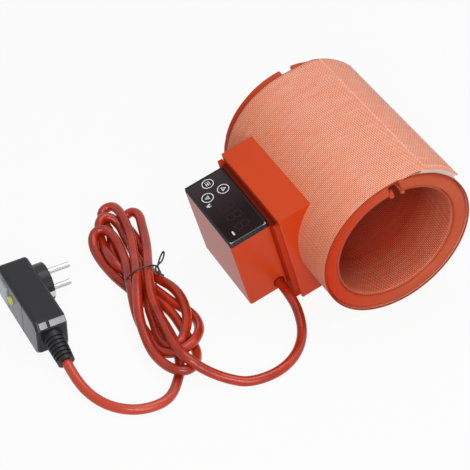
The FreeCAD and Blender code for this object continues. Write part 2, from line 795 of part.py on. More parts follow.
def keys():
    """The round keys: a cap through the window, a collar behind the frame and a stem."""
    collar_top = bezel_back - d.key_clearance
    collar_back = collar_top - d.key_collar
    stem_end = front_board_face + d.switch_height - d.key_engagement
    for name, reach, y in key_places():
        cap = rod(
            f"{name}_cap", -reach, y, collar_back, d.key_radius, d.panel_rise - collar_back
        )
        collar = rod(
            f"{name}_collar", -reach, y, collar_back, d.key_radius + d.key_lip, d.key_collar
        )
        stem = rod(f"{name}_stem", -reach, y, stem_end, d.key_stem, collar_back - stem_end)
        rolled(fuse(f"key_{name}", cap, collar, stem))


# The thermostat inside the box.
def inside_case(name, across, along, floor, width, length, height):
    """A block in the box, given by its middle across and along and by its underside."""
    return box(name, across - width / 2, along - length / 2, floor, width, length, height)


def thermostat():
    """Case, boards, switches, display and the larger parts on the main board."""
    case = new_body("case_moulding")
    outline = sketch_on(case, "XY_Plane", "case_outline", case_back)
    case_left = -box_middle - d.case_width / 2
    case_near = box_centre - d.case_length / 2
    rectangle(outline, case_left, case_near, d.case_width, d.case_length)
    pad(case, "case_block", outline, d.case_depth)
    inside = sketch_on(case, "XY_Plane", "case_inside", bezel_back)
    room_width = d.case_width - 2 * d.case_wall
    room_length = d.case_length - 2 * d.case_wall
    rectangle(
        inside, case_left + d.case_wall, case_near + d.case_wall, room_width, room_length,
    )
    pocket(case, "case_cavity", inside, d.case_depth - d.case_wall)
    recesses = [
        rod(
            f"{name}_recess", -reach, y, bezel_back - 3 * d.collar_thickness,
            d.key_radius + d.key_lip + 2 * d.key_clearance, 4 * d.collar_thickness,
        )
        for name, reach, y in key_places()
    ]
    rolled(cut_all("controller_case", case, *recesses))

    front_back = front_board_face - d.board_thickness
    rolled(
        inside_case(
            "front_board", -box_middle, box_centre, front_back,
            room_width, room_length - 2 * d.board_slack, d.board_thickness,
        )
    )
    switches = []
    for name, reach, y in key_places():
        body = inside_case(
            f"{name}_switch_body", -reach, y, front_board_face,
            d.switch_side, d.switch_side, d.switch_height,
        )
        depth = d.key_engagement + 2 * d.key_travel
        socket = rod(
            f"{name}_switch_socket", -reach, y, front_board_face + d.switch_height - depth,
            d.key_stem + d.key_clearance, 2 * depth,
        )
        switches.append(cut(f"{name}_switch", body, socket))
    rolled(fuse("key_switches", *switches))
    rolled(
        inside_case(
            "display_module", -box_middle, d.display_row, front_board_face,
            d.display_width, d.display_length, d.display_height,
        )
    )

    floor = case_back + d.case_wall
    board_x = -box_middle - room_width / 2 + d.board_setback
    rolled(
        box(
            "main_board", board_x, box_centre - d.board_length / 2, floor,
            d.board_thickness, d.board_length, front_back - floor,
        )
    )
    face_x = board_x + d.board_thickness
    rolled(
        box(
            "relay", face_x, box_centre - d.board_length / 2 + d.part_margin, floor + d.relay_rise,
            d.relay_depth, d.relay_length, d.relay_height,
        )
    )
    rolled(
        box(
            "mains_transformer", face_x,
            box_centre + d.board_length / 2 - d.part_margin - d.transformer_length, floor + d.relay_rise,
            d.transformer_depth, d.transformer_length, d.transformer_height,
        )
    )
    terminal = inside_case(
        "terminal_blank", -box_middle, box_centre, terminal_back,
        d.terminal_width, d.terminal_length, d.terminal_height,
    )
    slots = []
    screws = []
    pitch = d.terminal_length / d.terminal_poles
    for pole in range(int(d.terminal_poles.number)):
        y = box_centre - d.terminal_length / 2 + (pole + 0.5) * pitch
        slots.append(
            rod(
                f"terminal_well_{pole + 1}", -box_middle, y, terminal_back - d.terminal_recess,
                d.screw_radius + d.key_clearance, 2 * d.terminal_recess + d.screw_height,
            )
        )
        screws.append(
            rod(
                f"terminal_screw_{pole + 1}", -box_middle, y, terminal_back + d.terminal_recess,
                d.screw_radius, d.screw_height,
            )
        )
    rolled(cut_all("terminal_block", terminal, *slots))
    rolled(fuse("terminal_screws", *screws))


# The mains lead: its end in the box, and its way over the table to the plug.
def tube_shape(points, radius, name):
    """A round tube along straight runs joined by arcs as large as the runs allow."""
    points = [Vector(*point) for point in points]
    pieces = []
    radii = []
    start = points[0]
    for before, corner, after in zip(points, points[1:], points[2:]):
        into = (corner - before).normalize()
        onward = (after - corner).normalize()
        half_turn = into.getAngle(onward) / 2
        reach = 0.45 * min(corner.distanceToPoint(before), after.distanceToPoint(corner))
        bend = reach / math.tan(half_turn)
        radii.append(round(bend, 1))
        first = corner - into * reach
        last = corner + onward * reach
        inward = (onward - into).normalize()
        middle = corner + inward * (bend / math.cos(half_turn) - bend)
        pieces.append(Part.LineSegment(start, first).toShape())
        pieces.append(Part.Arc(first, middle, last).toShape())
        start = last
    pieces.append(Part.LineSegment(start, points[-1]).toShape())
    path = Part.Wire(pieces)
    section = Part.Wire(Part.makeCircle(radius, points[0], points[1] - points[0]))
    shape = path.makePipeShell([section], True, True)
    share = shape.Volume / (math.pi * radius * radius * path.Length)
    print(name, "length", round(path.Length, 1), "bends", radii, "volume share", round(share, 4))
    return shape


def cord_in_box():
    """The sheathed end of the lead under its clamp, and the cores to the terminals."""
    rolled(
        rod(
            "cord_sheath_end", -cord_reach, -d.box_near, -d.cord_drop,
            d.cord_diameter / 2, d.sheath_length, ALONG_BORE,
        )
    )
    reach = cord_reach.number
    sheath_end = d.sheath_length.number - d.box_near.number
    entry = -(box_middle - d.terminal_width / 2).number
    level = lead_level.number
    radius = d.core_radius.number
    spread = 2 * (radius + d.core_gap.number) / math.sqrt(3)
    rows = (("live", d.live_row), ("neutral", d.neutral_row), ("earth", d.earth_row))
    cores = []
    for n, (name, row) in enumerate(rows):
        y = row.number
        turn = math.radians(90 + 120 * n)
        x = spread * math.cos(turn) - reach
        z = spread * math.sin(turn) - d.cord_drop.number
        route = [(x, sheath_end, z), (x, y, z), (x, y, level), (entry, y, level)]
        cores.append(solid(f"core_{name}", tube_shape(route, radius, f"core_{name}")))
    rolled(fuse("cord_cores", *cores))

    inner_floor = box_floor + d.box_wall
    inner_wall = -(box_inner + d.box_wall)
    clamp = box(
        "clamp_blank", inner_wall - d.clamp_width, d.clamp_row - d.clamp_length / 2, inner_floor,
        d.clamp_width, d.clamp_length, d.clamp_height,
    )
    bore = rod(
        "clamp_bore", -cord_reach, d.clamp_row - d.clamp_length, -d.cord_drop,
        d.cord_diameter / 2 + d.cord_hole_gap / 2, 2 * d.clamp_length, ALONG_BORE,
    )
    screw_x = inner_wall - d.clamp_width + d.clamp_length / 2
    shank_hole = rod(
        "clamp_screw_hole", screw_x, d.clamp_row, inner_floor - d.box_wall,
        d.screw_shank + d.key_clearance, d.clamp_height + 2 * d.box_wall,
    )
    rolled(cut_all("cord_clamp", clamp, bore, shank_hole))
    shank = rod(
        "clamp_screw_shank", screw_x, d.clamp_row, inner_floor,
        d.screw_shank, d.clamp_height,
    )
    head = rod(
        "clamp_screw_head", screw_x, d.clamp_row, inner_floor + d.clamp_height,
        d.screw_radius, d.screw_height,
    )
    rolled(fuse("clamp_screw", shank, head))


def exit_point():
    """Where the lead leaves the box, with the box rolled."""
    turn = math.radians(roll.number)
    out, down = cord_reach.number, d.cord_drop.number
    x = down * math.sin(turn) - out * math.cos(turn)
    z = -out * math.sin(turn) - down * math.cos(turn)
    return (x, -d.box_near.number, z)


def cord_on_table():
    """The lead from the box to the hank, the tied hank, and the lead from there to the plug."""
    radius = d.cord_diameter.number / 2
    level = (table + d.hank_lift).number + radius
    x, y, z = exit_point()
    lead = [
        (x, y, z),
        (x, -45.0, z),
        (-75.0, -61.0, -55.0),
        (-82.0, -82.0, -60.8),
        (-99.0, -99.5, level),
        (-121.0, -108.0, level),
        (-144.0, -106.0, level),
        (-162.0, -93.0, level),
        (-171.5, -77.5, level),
    ]
    finished(solid("cord_lead", tube_shape(lead, radius, "cord_lead")))

    mouth = boot_mouth_point()
    tail = [
        tuple(mouth),
        tuple(size.number for size in boot_point(d.boot_length + d.tail_straight)),
        (-256.5, -60.0, -61.4),
        (-248.0, -77.5, level),
        (-233.5, -90.0, level),
        (-216.0, -94.0, level),
        (-202.0, -90.5, level),
        (-190.0, -78.5, level),
    ]
    finished(solid("cord_tail", tube_shape(tail, radius, "cord_tail")))

    outline = [
        (-157, 29), (-153, 48), (-146, 66), (-139, 86), (-137, 101), (-144, 112), (-153, 121),
        (-162, 115), (-173, 101), (-183, 93), (-187, 74), (-186, 52), (-181, 29), (-184, 10),
        (-190, -9), (-196, -31), (-197, -53), (-191, -71), (-181, -78), (-170, -70), (-158, -50),
        (-149, -24), (-150, 8),
    ]
    floor = (table + d.hank_lift).number
    middles = [Vector(px, py, floor) for px, py in outline]
    edge_points = []
    for n, middle in enumerate(middles):
        along = (middles[(n + 1) % len(middles)] - middles[n - 1]).normalize()
        edge_points.append(middle + Vector(along.y, -along.x) * radius)
    loop = Part.BSplineCurve()
    loop.interpolate(edge_points, PeriodicFlag=True)
    heap = solid(
        "hank_turns",
        Part.Face(Part.Wire(loop.toShape())).extrude(Vector(0, 0, d.hank_height.number)),
    )
    gap = tied_block("hank_gap", d.tie_width + 2 * d.tie_slack, 2 * d.waist_width, 3 * d.waist_height, -d.waist_height)
    core = tied_block("hank_waist", d.waist_length, d.waist_width, d.waist_height, d.tie_thickness)
    finished(fuse("cord_hank", cut("hank_halves", heap, gap), core))
    outer = tied_block(
        "tie_outside", d.tie_width, d.waist_width + 2 * d.tie_thickness,
        d.waist_height + 2 * d.tie_thickness, 0,
    )
    inner = tied_block(
        "tie_inside", 2 * d.tie_width, d.waist_width, d.waist_height, d.tie_thickness,
    )
    finished(cut("cord_tie", outer, inner))


def tied_block(name, length, width, height, lift):
    """A block round the hank's waist, square to the tie."""
    length, width, lift = sized(length), sized(width), sized(lift)
    item = doc.addObject("Part::Box", name)
    bind(item, Length=length, Width=width, Height=height)
    turn = d.waist_turn
    x = -d.waist_reach - (length * cosine(turn) - width * sine(turn)) / 2
    y = d.waist_row - (length * sine(turn) + width * cosine(turn)) / 2
    place(item, x, y, table + d.hank_lift + lift, Rotation(Vector(0, 0, 1), turn.number))
    return turned(item, turn)


# The plug with its residual-current switch.
plug_middle = table + d.plug_height / 2
plug_seam = d.plug_split - d.plug_face
plug_back = d.plug_depth - d.plug_face
boot_x = d.boot_centre - d.plug_face


def boot_point(along):
    """A point of the strain relief's own line, in sizes."""
    y = -d.plug_near - along * cosine(d.boot_droop)
    z = plug_middle - along * sine(d.boot_droop)
    return boot_x, y, z


def boot_mouth_point():
    x, y, z = boot_point(d.boot_length)
    return Vector(x.number, y.number, z.number)


def drooping(item):
    """Turns a bar from its own axis to the strain relief's."""
    return turned(item, 90 + d.boot_droop)


def polygon(sketch, corners):
    """A closed outline with every corner held from the sketch's origin."""
    corners = [(sized(x), sized(y)) for x, y in corners]
    points = [Vector(x.number, y.number) for x, y in corners]
    count = len(points)
    for n in range(count):
        sketch.addGeometry(Part.LineSegment(points[n], points[(n + 1) % count]))
    for n in range(count):
        sketch.addConstraint(Sketcher.Constraint("Coincident", n, END, (n + 1) % count, START))
        hold(sketch, "DistanceX", corners[n][0], *ORIGIN_POINT, n, START)
        hold(sketch, "DistanceY", corners[n][1], *ORIGIN_POINT, n, START)
    return sketch


def plug_outline(sketch, inset):
    """The plug seen from its button face: a long block with its cord end bevelled."""
    inset = sized(inset)
    slope = d.plug_slope - inset * (2 - math.sqrt(2))
    near = inset - d.plug_near
    far = d.plug_length - d.plug_near - inset
    low = table + inset
    high = table + d.plug_height - inset
    corners = [
        (near + slope, low), (far, low), (far, high), (near + slope, high),
        (near, high - slope), (near, low + slope),
    ]
    return polygon(sketch, corners)


def far_corners(edge):
    """The two long corners of the plug away from its cord."""
    far = (d.plug_length - d.plug_near).number
    return points_along(edge, ALONG_X) and edge.BoundBox.YMin > far - 1e-3


def plug_post(name, side, start, length, radius):
    """A screw post, or a screw in it, across the plug."""
    z = plug_middle + side * d.post_spread
    return rod(name, start, d.post_row, z, radius, length, FROM_PLUG)


def plug_covers():
    front = new_body("front_cover_moulding")
    outline = sketch_on(front, "YZ_Plane", "front_cover_outline", -d.plug_face)
    pad(front, "front_cover_block", plug_outline(outline, 0), d.plug_split)
    dress(front, "Fillet", "front_cover_corners", d.plug_corner, far_corners)
    face = -d.plug_face.number
    dress(
        front, "Fillet", "front_cover_rounding", d.plug_edge,
        lambda edge: edge.BoundBox.XMax < face + 1e-3,
    )
    inside = sketch_on(front, "YZ_Plane", "front_cover_inside", plug_seam)
    plug_outline(inside, d.plug_wall)
    pocket(front, "front_cover_cavity", inside, d.plug_split - d.plug_wall)
    holes = sketch_on(front, "YZ_Plane", "front_cover_holes", plug_seam)
    circle(holes, d.button_row, plug_middle + d.button_rise, d.button_radius + d.button_gap)
    rectangle(
        holes, d.reset_row - d.reset_length / 2 - d.button_gap,
        plug_middle - d.reset_width / 2 - d.button_gap,
        d.reset_length + 2 * d.button_gap, d.reset_width + 2 * d.button_gap,
    )
    pocket(front, "front_cover_button_holes", holes, 2 * d.plug_split)
    groove = sketch_on(front, "YZ_Plane", "front_cover_groove", d.groove_depth - d.plug_face)
    rectangle(
        groove, d.groove_row - d.groove_width / 2, table, d.groove_width, d.plug_height,
    )
    pocket(front, "front_cover_groove_cut", groove, 2 * d.groove_depth)
    posts = [
        plug_post(f"front_post_{n}", side, d.plug_wall - d.plug_face,
                  d.plug_split - d.plug_wall, d.post_radius)
        for n, side in ((1, -1), (2, 1))
    ]
    pilots = [
        plug_post(f"front_pilot_{n}", side, plug_seam - d.screw_bite, 2 * d.screw_bite, d.screw_shank)
        for n, side in ((1, -1), (2, 1))
    ]
    neck = rod(
        "front_neck_hole", boot_x, -2 * d.plug_near, plug_middle,
        d.boot_neck + d.key_clearance, 2 * d.plug_near + d.plug_wall, ALONG_BORE,
    )
    with_posts = fuse("front_cover_posts", front, *posts)
    finished(cut_all("plug_front_cover", with_posts, neck, *pilots))

    rear = new_body("rear_cover_moulding")
    outline = sketch_on(rear, "YZ_Plane", "rear_cover_outline", plug_seam)
    pad(rear, "rear_cover_block", plug_outline(outline, 0), d.plug_depth - d.plug_split)
    dress(rear, "Fillet", "rear_cover_corners", d.plug_corner, far_corners)
    back = plug_back.number
    dress(
        rear, "Fillet", "rear_cover_rounding", d.plug_edge,
        lambda edge: edge.BoundBox.XMin > back - 1e-3,
    )
    boss = sketch_on(rear, "YZ_Plane", "boss_outline", plug_back - d.plug_wall)
    circle(boss, d.boss_row, plug_middle, d.boss_radius)
    pad(rear, "boss_block", boss, d.boss_height + d.plug_wall)
    tip = boss_face.number
    dress(rear, "Fillet", "boss_rounding", d.block_edge, lambda edge: edge.BoundBox.XMin > tip - 1e-3)
    inside = sketch_on(rear, "YZ_Plane", "rear_cover_inside", plug_seam)
    plug_outline(inside, d.plug_wall)
    pocket(rear, "rear_cover_cavity", inside, d.plug_depth - d.plug_split - d.plug_wall, away=True)
    posts = [
        plug_post(f"rear_post_{n}", side, plug_seam, d.plug_depth - d.plug_split, d.post_radius)
        for n, side in ((1, -1), (2, 1))
    ]
    shanks = [
        plug_post(f"rear_shank_hole_{n}", side, plug_seam - d.plug_wall, d.plug_depth,
                  d.screw_shank + d.key_clearance)
        for n, side in ((1, -1), (2, 1))
    ]
    wells = [
        plug_post(f"rear_screw_well_{n}", side, plug_back - d.screw_height,
                  2 * d.screw_height, d.screw_radius + d.key_clearance)
        for n, side in ((1, -1), (2, 1))
    ]
    neck = rod(
        "rear_neck_hole", boot_x, -2 * d.plug_near, plug_middle,
        d.boot_neck + d.key_clearance, 2 * d.plug_near + d.plug_wall, ALONG_BORE,
    )
    with_posts = fuse("rear_cover_posts", rear, *posts)
    tools = [neck] + shanks + wells + pin_roots("pin_hole") + earth_strips("contact_seat")
    finished(cut_all("plug_rear_cover", with_posts, *tools))
    screws = []
    for n, side in ((1, -1), (2, 1)):
        start = plug_seam - d.screw_bite
        length = d.plug_depth - d.plug_split + d.screw_bite
        screws.append(plug_post(f"plug_screw_{n}_shank", side, start, length, d.screw_shank))
        screws.append(
            plug_post(f"plug_screw_{n}_head", side, plug_back - d.screw_height,
                      d.screw_height, d.screw_radius)
        )
    finished(fuse("plug_screws", *screws))


def pin_bars(name, start, radius, length):
    """A round bar for each of the two pins."""
    return [
        rod(
            f"{name}_{n}", start, d.boss_row, plug_middle + side * d.pin_pitch / 2,
            radius, length, FROM_PLUG,
        )
        for n, side in ((1, -1), (2, 1))
    ]


def pin_roots(name):
    """The pins' slimmer roots, from the switch module through the boss."""
    return pin_bars(name, module_back, d.pin_root, boss_face - module_back)


def earth_strips(name):
    """The two earth contacts in the boss's flanks."""
    strips = []
    for n, side in ((1, -1), (2, 1)):
        middle = d.boss_row + side * (d.boss_radius - d.contact_thickness / 2)
        strips.append(
            box(
                f"{name}_{n}", plug_back - d.plug_wall, middle - d.contact_thickness / 2,
                plug_middle - d.contact_width / 2,
                d.boss_height + d.plug_wall, d.contact_thickness, d.contact_width,
            )
        )
    return strips


boss_face = plug_back + d.boss_height
button_back = d.plug_wall - d.plug_face + d.button_gap + d.collar_thickness
module_front = button_back + d.button_travel + d.module_gap
module_back = plug_back - d.plug_wall - d.module_gap


def plug_inside():
    """The switch module, the pins and contacts, and the cores from the lead."""
    finished(
        box(
            "rcd_module", module_front, d.module_near, table + d.plug_wall,
            module_back - module_front, d.module_length, d.plug_height - 2 * d.plug_wall,
        )
    )
    free_ends = pin_bars("pin_free_end", boss_face, d.pin_radius, d.pin_length)
    finished(fuse("plug_pins", *free_ends, *pin_roots("pin_root")))
    finished(fuse("earth_contacts", *earth_strips("contact")))
    start = d.plug_wall - d.plug_near + d.flange_thickness
    cores = [
        rod(
            f"plug_core_{n}", boot_x, start, plug_middle + row * d.plug_core_pitch,
            d.core_radius, d.module_near - start, ALONG_BORE,
        )
        for n, row in ((1, -1), (2, 0), (3, 1))
    ]
    finished(fuse("plug_cores", *cores))


def plug_buttons():
    """Test and reset: a cap through the face with a collar behind it."""
    front = -d.plug_face - d.button_proud
    collar = button_back - d.collar_thickness
    cap_length = button_back - front
    z = plug_middle + d.button_rise
    cap = rod("test_cap", front, d.button_row, z, d.button_radius, cap_length, FROM_PLUG)
    round_collar = rod(
        "test_collar", collar, d.button_row, z, d.button_radius + d.button_lip,
        d.collar_thickness, FROM_PLUG,
    )
    finished(fuse("test_button", cap, round_collar))
    cap = box(
        "reset_cap_blank", front, d.reset_row - d.reset_length / 2, plug_middle - d.reset_width / 2,
        cap_length, d.reset_length, d.reset_width,
    )
    low = front.number
    eased = rounded(
        "reset_cap", cap, d.block_edge, lambda edge: edge.BoundBox.XMax < low + 1e-3,
    )
    wide_collar = box(
        "reset_collar", collar, d.reset_row - d.reset_length / 2 - d.button_lip,
        plug_middle - d.reset_width / 2 - d.button_lip,
        d.collar_thickness, d.reset_length + 2 * d.button_lip, d.reset_width + 2 * d.button_lip,
    )
    finished(fuse("reset_button", eased, wide_collar))


def strain_relief():
    """The ribbed boot: a drooping cone with grooves, a neck in the wall and a flange inside."""
    turn = Rotation(Vector(1, 0, 0), 90 + d.boot_droop.number)
    cone = doc.addObject("Part::Cone", "boot_cone")
    bind(
        cone, Radius1=d.boot_root, Radius2=d.boot_mouth,
        Height=d.boot_length + d.plug_wall,
    )
    drooping(place(cone, *boot_point(-d.plug_wall), turn))
    grooves = []
    pitch = d.boot_length / (d.rib_count + 1)
    for n in range(int(d.rib_count.number)):
        along = (n + 1) * pitch - d.rib_gap / 2
        radius = d.boot_root - (d.boot_root - d.boot_mouth) * (along / d.boot_length)
        wide = rod(f"rib_gap_{n + 1}_outside", *boot_point(along), 2 * d.boot_root, d.rib_gap, turn)
        narrow = rod(
            f"rib_gap_{n + 1}_inside", *boot_point(along), radius - d.rib_depth, d.rib_gap, turn
        )
        grooves.append(cut(f"rib_gap_{n + 1}", drooping(wide), drooping(narrow)))
    wall = box(
        "boot_face", boot_x - 2 * d.boot_root, -d.plug_near, plug_middle - 2 * d.boot_root,
        4 * d.boot_root, 2 * d.boot_length, 4 * d.boot_root,
    )
    outside = cut_all("boot_outside", cone, wall, *grooves)
    neck = rod(
        "boot_neck", boot_x, -d.plug_near, plug_middle, d.boot_neck,
        d.plug_wall + d.flange_thickness, ALONG_BORE,
    )
    flange = rod(
        "boot_flange", boot_x, d.plug_wall - d.plug_near, plug_middle,
        d.boot_neck + d.plug_wall, d.flange_thickness, ALONG_BORE,
    )
    finished(fuse("plug_strain_relief", outside, neck, flange))


def check_everything():
    """Stops with a plain message if a feature or a piece's shape has failed."""
    doc.recompute()
    for item in doc.Objects:
        if "Invalid" in item.State or "Error" in item.State:
            raise ValueError(f"{item.Name} failed: {item.State}")
    for label, item in parts.items():
        if item.Shape.isNull() or not item.Shape.isValid():
            raise ValueError(f"{label} has no valid shape")


def write_pieces():
    os.makedirs("parts", exist_ok=True)
    for label, item in parts.items():
        item.Shape.exportStep(os.path.join("parts", f"{label}.step"))
        print(label, "solids", len(item.Shape.Solids), "volume", round(item.Shape.Volume, 1))


def build():
    jacket()
    sensor_and_leads()
    saddle_and_plate()
    control_box()
    panel()
    keys()
    thermostat()
    cord_in_box()
    cord_on_table()
    plug_covers()
    plug_inside()
    plug_buttons()
    strain_relief()
    check_everything()
    write_pieces()


build()
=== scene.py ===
# %% [markdown]
# # A gas cylinder heater blanket, rebuilt in Blender
# The jacket clasps a gas cylinder and warms it. It is built up in layers: a thin heating
# mat inside, soft silicone sponge round it, and a woven cover outside that closes with a
# strip of hook and loop. A moulded saddle carries the control box, and a long mains lead,
# tied up in a hank, ends in a plug with a residual current switch.
# The engineering model is loaded first. Its hard parts are shown as they are, with
# materials made here. Its soft parts, which are the cover, the sponge, the mat, the lead
# and the lead's tie, are replaced by meshes that are swept, smoothed or traced.

# %% Load the frame
import math
import bmesh
import bpy
from mathutils import Matrix, Vector, noise


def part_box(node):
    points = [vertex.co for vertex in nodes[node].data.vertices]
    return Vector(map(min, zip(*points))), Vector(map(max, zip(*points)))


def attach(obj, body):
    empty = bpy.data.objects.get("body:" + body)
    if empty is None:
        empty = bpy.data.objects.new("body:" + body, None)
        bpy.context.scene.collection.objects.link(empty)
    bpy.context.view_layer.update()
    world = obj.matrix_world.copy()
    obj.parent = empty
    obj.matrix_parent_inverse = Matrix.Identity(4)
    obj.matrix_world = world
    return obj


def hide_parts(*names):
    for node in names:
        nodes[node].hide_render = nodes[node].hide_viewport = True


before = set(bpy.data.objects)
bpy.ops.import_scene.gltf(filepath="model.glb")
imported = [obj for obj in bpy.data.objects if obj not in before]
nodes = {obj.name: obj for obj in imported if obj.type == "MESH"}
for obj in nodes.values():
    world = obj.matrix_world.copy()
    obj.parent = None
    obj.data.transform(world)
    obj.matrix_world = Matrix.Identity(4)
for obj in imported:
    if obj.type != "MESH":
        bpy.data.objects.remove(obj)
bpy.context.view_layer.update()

# %% [markdown]
# ## Sizes
# Everything is in metres. The bore runs along Y with its axis at the origin, and the
# whole jacket is rolled a little so that the control box tips down towards the table.
# The angles below are measured from straight up, towards the side away from the box.

# %% Sizes
MM = 0.001
BORE = 51.8 * MM
FOAM_OUT = 65.2 * MM
COVER = 1.0 * MM
STRIP = 1.8 * MM
FLAP_IN = FOAM_OUT + COVER + 2 * STRIP
ROLL = 15.2249
COVER_START = 14.88 - ROLL
LIFT = 3.08 - ROLL
FLAP_END = 60.4 - ROLL
FLAP_BEND = 20.0 * MM
NEAR = -83.0 * MM
COVER_FAR = 74.0 * MM
MAT_END = 80.5 * MM
FLOOR = -66.2 * MM
CORD = 8.0 * MM
print("sizes set: bore", BORE, "foam", FOAM_OUT, "flap", FLAP_IN)

# %% [markdown]
# ## Small helpers
# Most places on a jacket are easiest to give as a radius and an angle. Colours are easiest
# to give as a written code, which has to be turned into linear light. And every new mesh
# needs its doubled points joined and its faces turned outwards before it can be shown.

# %% Small helpers


def on_arc(radius, degrees):
    """A point on a circle round the bore, measured from the top."""
    turn = math.radians(degrees)
    return (radius * math.sin(turn), radius * math.cos(turn))


def colour(code):
    """A written colour as the linear values that a material wants."""
    parts = [int(code[i:i + 2], 16) / 255 for i in (1, 3, 5)]
    line = [c / 12.92 if c <= 0.04045 else ((c + 0.055) / 1.055) ** 2.4 for c in parts]
    return (*line, 1.0)


def add(name, bm, material):
    """A finished mesh object from a bmesh, at the origin."""
    bmesh.ops.remove_doubles(bm, verts=bm.verts, dist=1e-6)
    bmesh.ops.recalc_face_normals(bm, faces=bm.faces)
    mesh = bpy.data.meshes.new(name)
    bm.to_mesh(mesh)
    bm.free()
    obj = bpy.data.objects.new(name, mesh)
    bpy.context.scene.collection.objects.link(obj)
    mesh.materials.append(material)
    mesh.shade_smooth()
    return obj


print("mesh helpers ready")

# %% [markdown]
# ## Helpers for shader groups
# A group is a small machine with named inputs and outputs, which several materials can
# share. One helper makes an empty group, the other makes a Math node, since a pattern
# that is drawn by numbers needs many of them.

# %% Helpers for shader groups


def new_group(name, inputs, outputs):
    """An empty shader group with its named sockets."""
    group = bpy.data.node_groups.new(name, "ShaderNodeTree")
    for label, value in inputs:
        socket = group.interface.new_socket(label, in_out="INPUT", socket_type="NodeSocketFloat")
        socket.default_value = value
    for label in outputs:
        group.interface.new_socket(label, in_out="OUTPUT", socket_type="NodeSocketFloat")
    start = group.nodes.new("NodeGroupInput")
    end = group.nodes.new("NodeGroupOutput")
    return group, start, end


def math_node(tree, kind, a, b=None, c=None):
    """A Math node fed with sockets or plain numbers; returns its output."""
    node = tree.nodes.new("ShaderNodeMath")
    node.operation = kind
    for socket, value in zip(node.inputs, (a, b, c)):
        if value is None:
            continue
        if isinstance(value, (int, float)):
            socket.default_value = value
        else:
            tree.links.new(value, socket)
    return node.outputs[0]


print("group helpers ready")

# %% [markdown]
# ## The weave group
# The cloth is a plain weave: each thread goes over one and under the next. It could be
# modelled thread by thread, but that takes millions of faces. Here two sine waves make the
# round threads, a chessboard of cells says which one is on top, and the low lines between
# the threads that run round the bore are the gaps. White noise gives each stretch of
# thread a value of its own.

# %% The weave group
THREAD_DIP = 0.45
GAP_SLOPE, GAP_START = -1.9, 1.36
STRETCHES = 0.08


def make_weave():
    """Plain weave: height, gap mask and a value that differs from thread to thread."""
    group, start, end = new_group(
        "plain_weave", (("Across", 0.0), ("Along", 0.0), ("Pitch", 0.0014)),
        ("Height", "Gap", "Over", "Thread"),
    )
    u = math_node(group, "DIVIDE", start.outputs["Across"], start.outputs["Pitch"])
    v = math_node(group, "DIVIDE", start.outputs["Along"], start.outputs["Pitch"])
    su, sv = (
        math_node(group, "ABSOLUTE", math_node(group, "SINE", math_node(group, "MULTIPLY", way, math.pi)))
        for way in (u, v)
    )
    cell = math_node(group, "ADD", math_node(group, "FLOOR", u), math_node(group, "FLOOR", v))
    parity = math_node(group, "PINGPONG", cell, 1.0)
    warp, weft = (
        math_node(group, "MULTIPLY", own, math_node(group, "MULTIPLY_ADD", other, THREAD_DIP, 1 - THREAD_DIP))
        for own, other in ((su, sv), (sv, su))
    )
    mix = group.nodes.new("ShaderNodeMix")
    group.links.new(parity, mix.inputs["Factor"])
    group.links.new(warp, mix.inputs["A"])
    group.links.new(weft, mix.inputs["B"])
    near_gap = math_node(group, "MULTIPLY_ADD", weft, GAP_SLOPE, GAP_START)
    gap = math_node(group, "MINIMUM", math_node(group, "MAXIMUM", near_gap, 0.0), 1.0)
    white = group.nodes.new("ShaderNodeTexWhiteNoise")
    white.noise_dimensions = "2D"
    pair = group.nodes.new("ShaderNodeCombineXYZ")
    group.links.new(math_node(group, "FLOOR", v), pair.inputs[0])
    group.links.new(math_node(group, "FLOOR", math_node(group, "MULTIPLY", u, STRETCHES)), pair.inputs[1])
    group.links.new(pair.outputs[0], white.inputs["Vector"])
    group.links.new(mix.outputs["Result"], end.inputs["Height"])
    group.links.new(gap, end.inputs["Gap"])
    group.links.new(parity, end.inputs["Over"])
    group.links.new(white.outputs["Value"], end.inputs["Thread"])
    return group


WEAVE = make_weave()
print("group made:", WEAVE.name)

# %% [markdown]
# ## The grain group
# Moulded rubber and plastic are never quite even: the tool leaves a fine grain, and the
# filler gives slow patches. Two noises over the object's own coordinates do both, one for
# the bump and one for the colour. A picture of grain would blur near by and show its seams.

# %% The grain group


def make_grain():
    """Fine and broad noise over the object's own coordinates, for rubber and plastic."""
    group, start, end = new_group("moulded_grain", (("Fine", 900.0), ("Broad", 22.0)), ("Grain", "Mottle"))
    place = group.nodes.new("ShaderNodeTexCoord")
    for label, socket, detail in (("Fine", "Grain", 3.0), ("Broad", "Mottle", 5.0)):
        tex = group.nodes.new("ShaderNodeTexNoise")
        tex.inputs["Detail"].default_value = detail
        group.links.new(place.outputs["Object"], tex.inputs["Vector"])
        group.links.new(start.outputs[label], tex.inputs["Scale"])
        group.links.new(tex.outputs["Fac"], end.inputs[socket])
    return group


GRAIN = make_grain()
print("group made:", GRAIN.name)

# %% [markdown]
# ## Helpers for materials
# Each material is one Principled shader with a few nodes in front of it. These helpers
# make the nodes that come back again and again, so that a finish reads as a short list:
# its colours, its roughness, and the tones that are laid over it by a mask.

# %% Helpers for materials
M = {}


def new_material(name, base, rough, metallic=0.0, specular=0.5):
    """A Principled material with its plain values set."""
    material = bpy.data.materials.new(name)
    material.use_nodes = True
    shader = material.node_tree.nodes["Principled BSDF"]
    shader.inputs["Base Color"].default_value = colour(base)
    shader.inputs["Roughness"].default_value = rough
    shader.inputs["Metallic"].default_value = metallic
    shader.inputs["Specular IOR Level"].default_value = specular
    return material, material.node_tree, shader


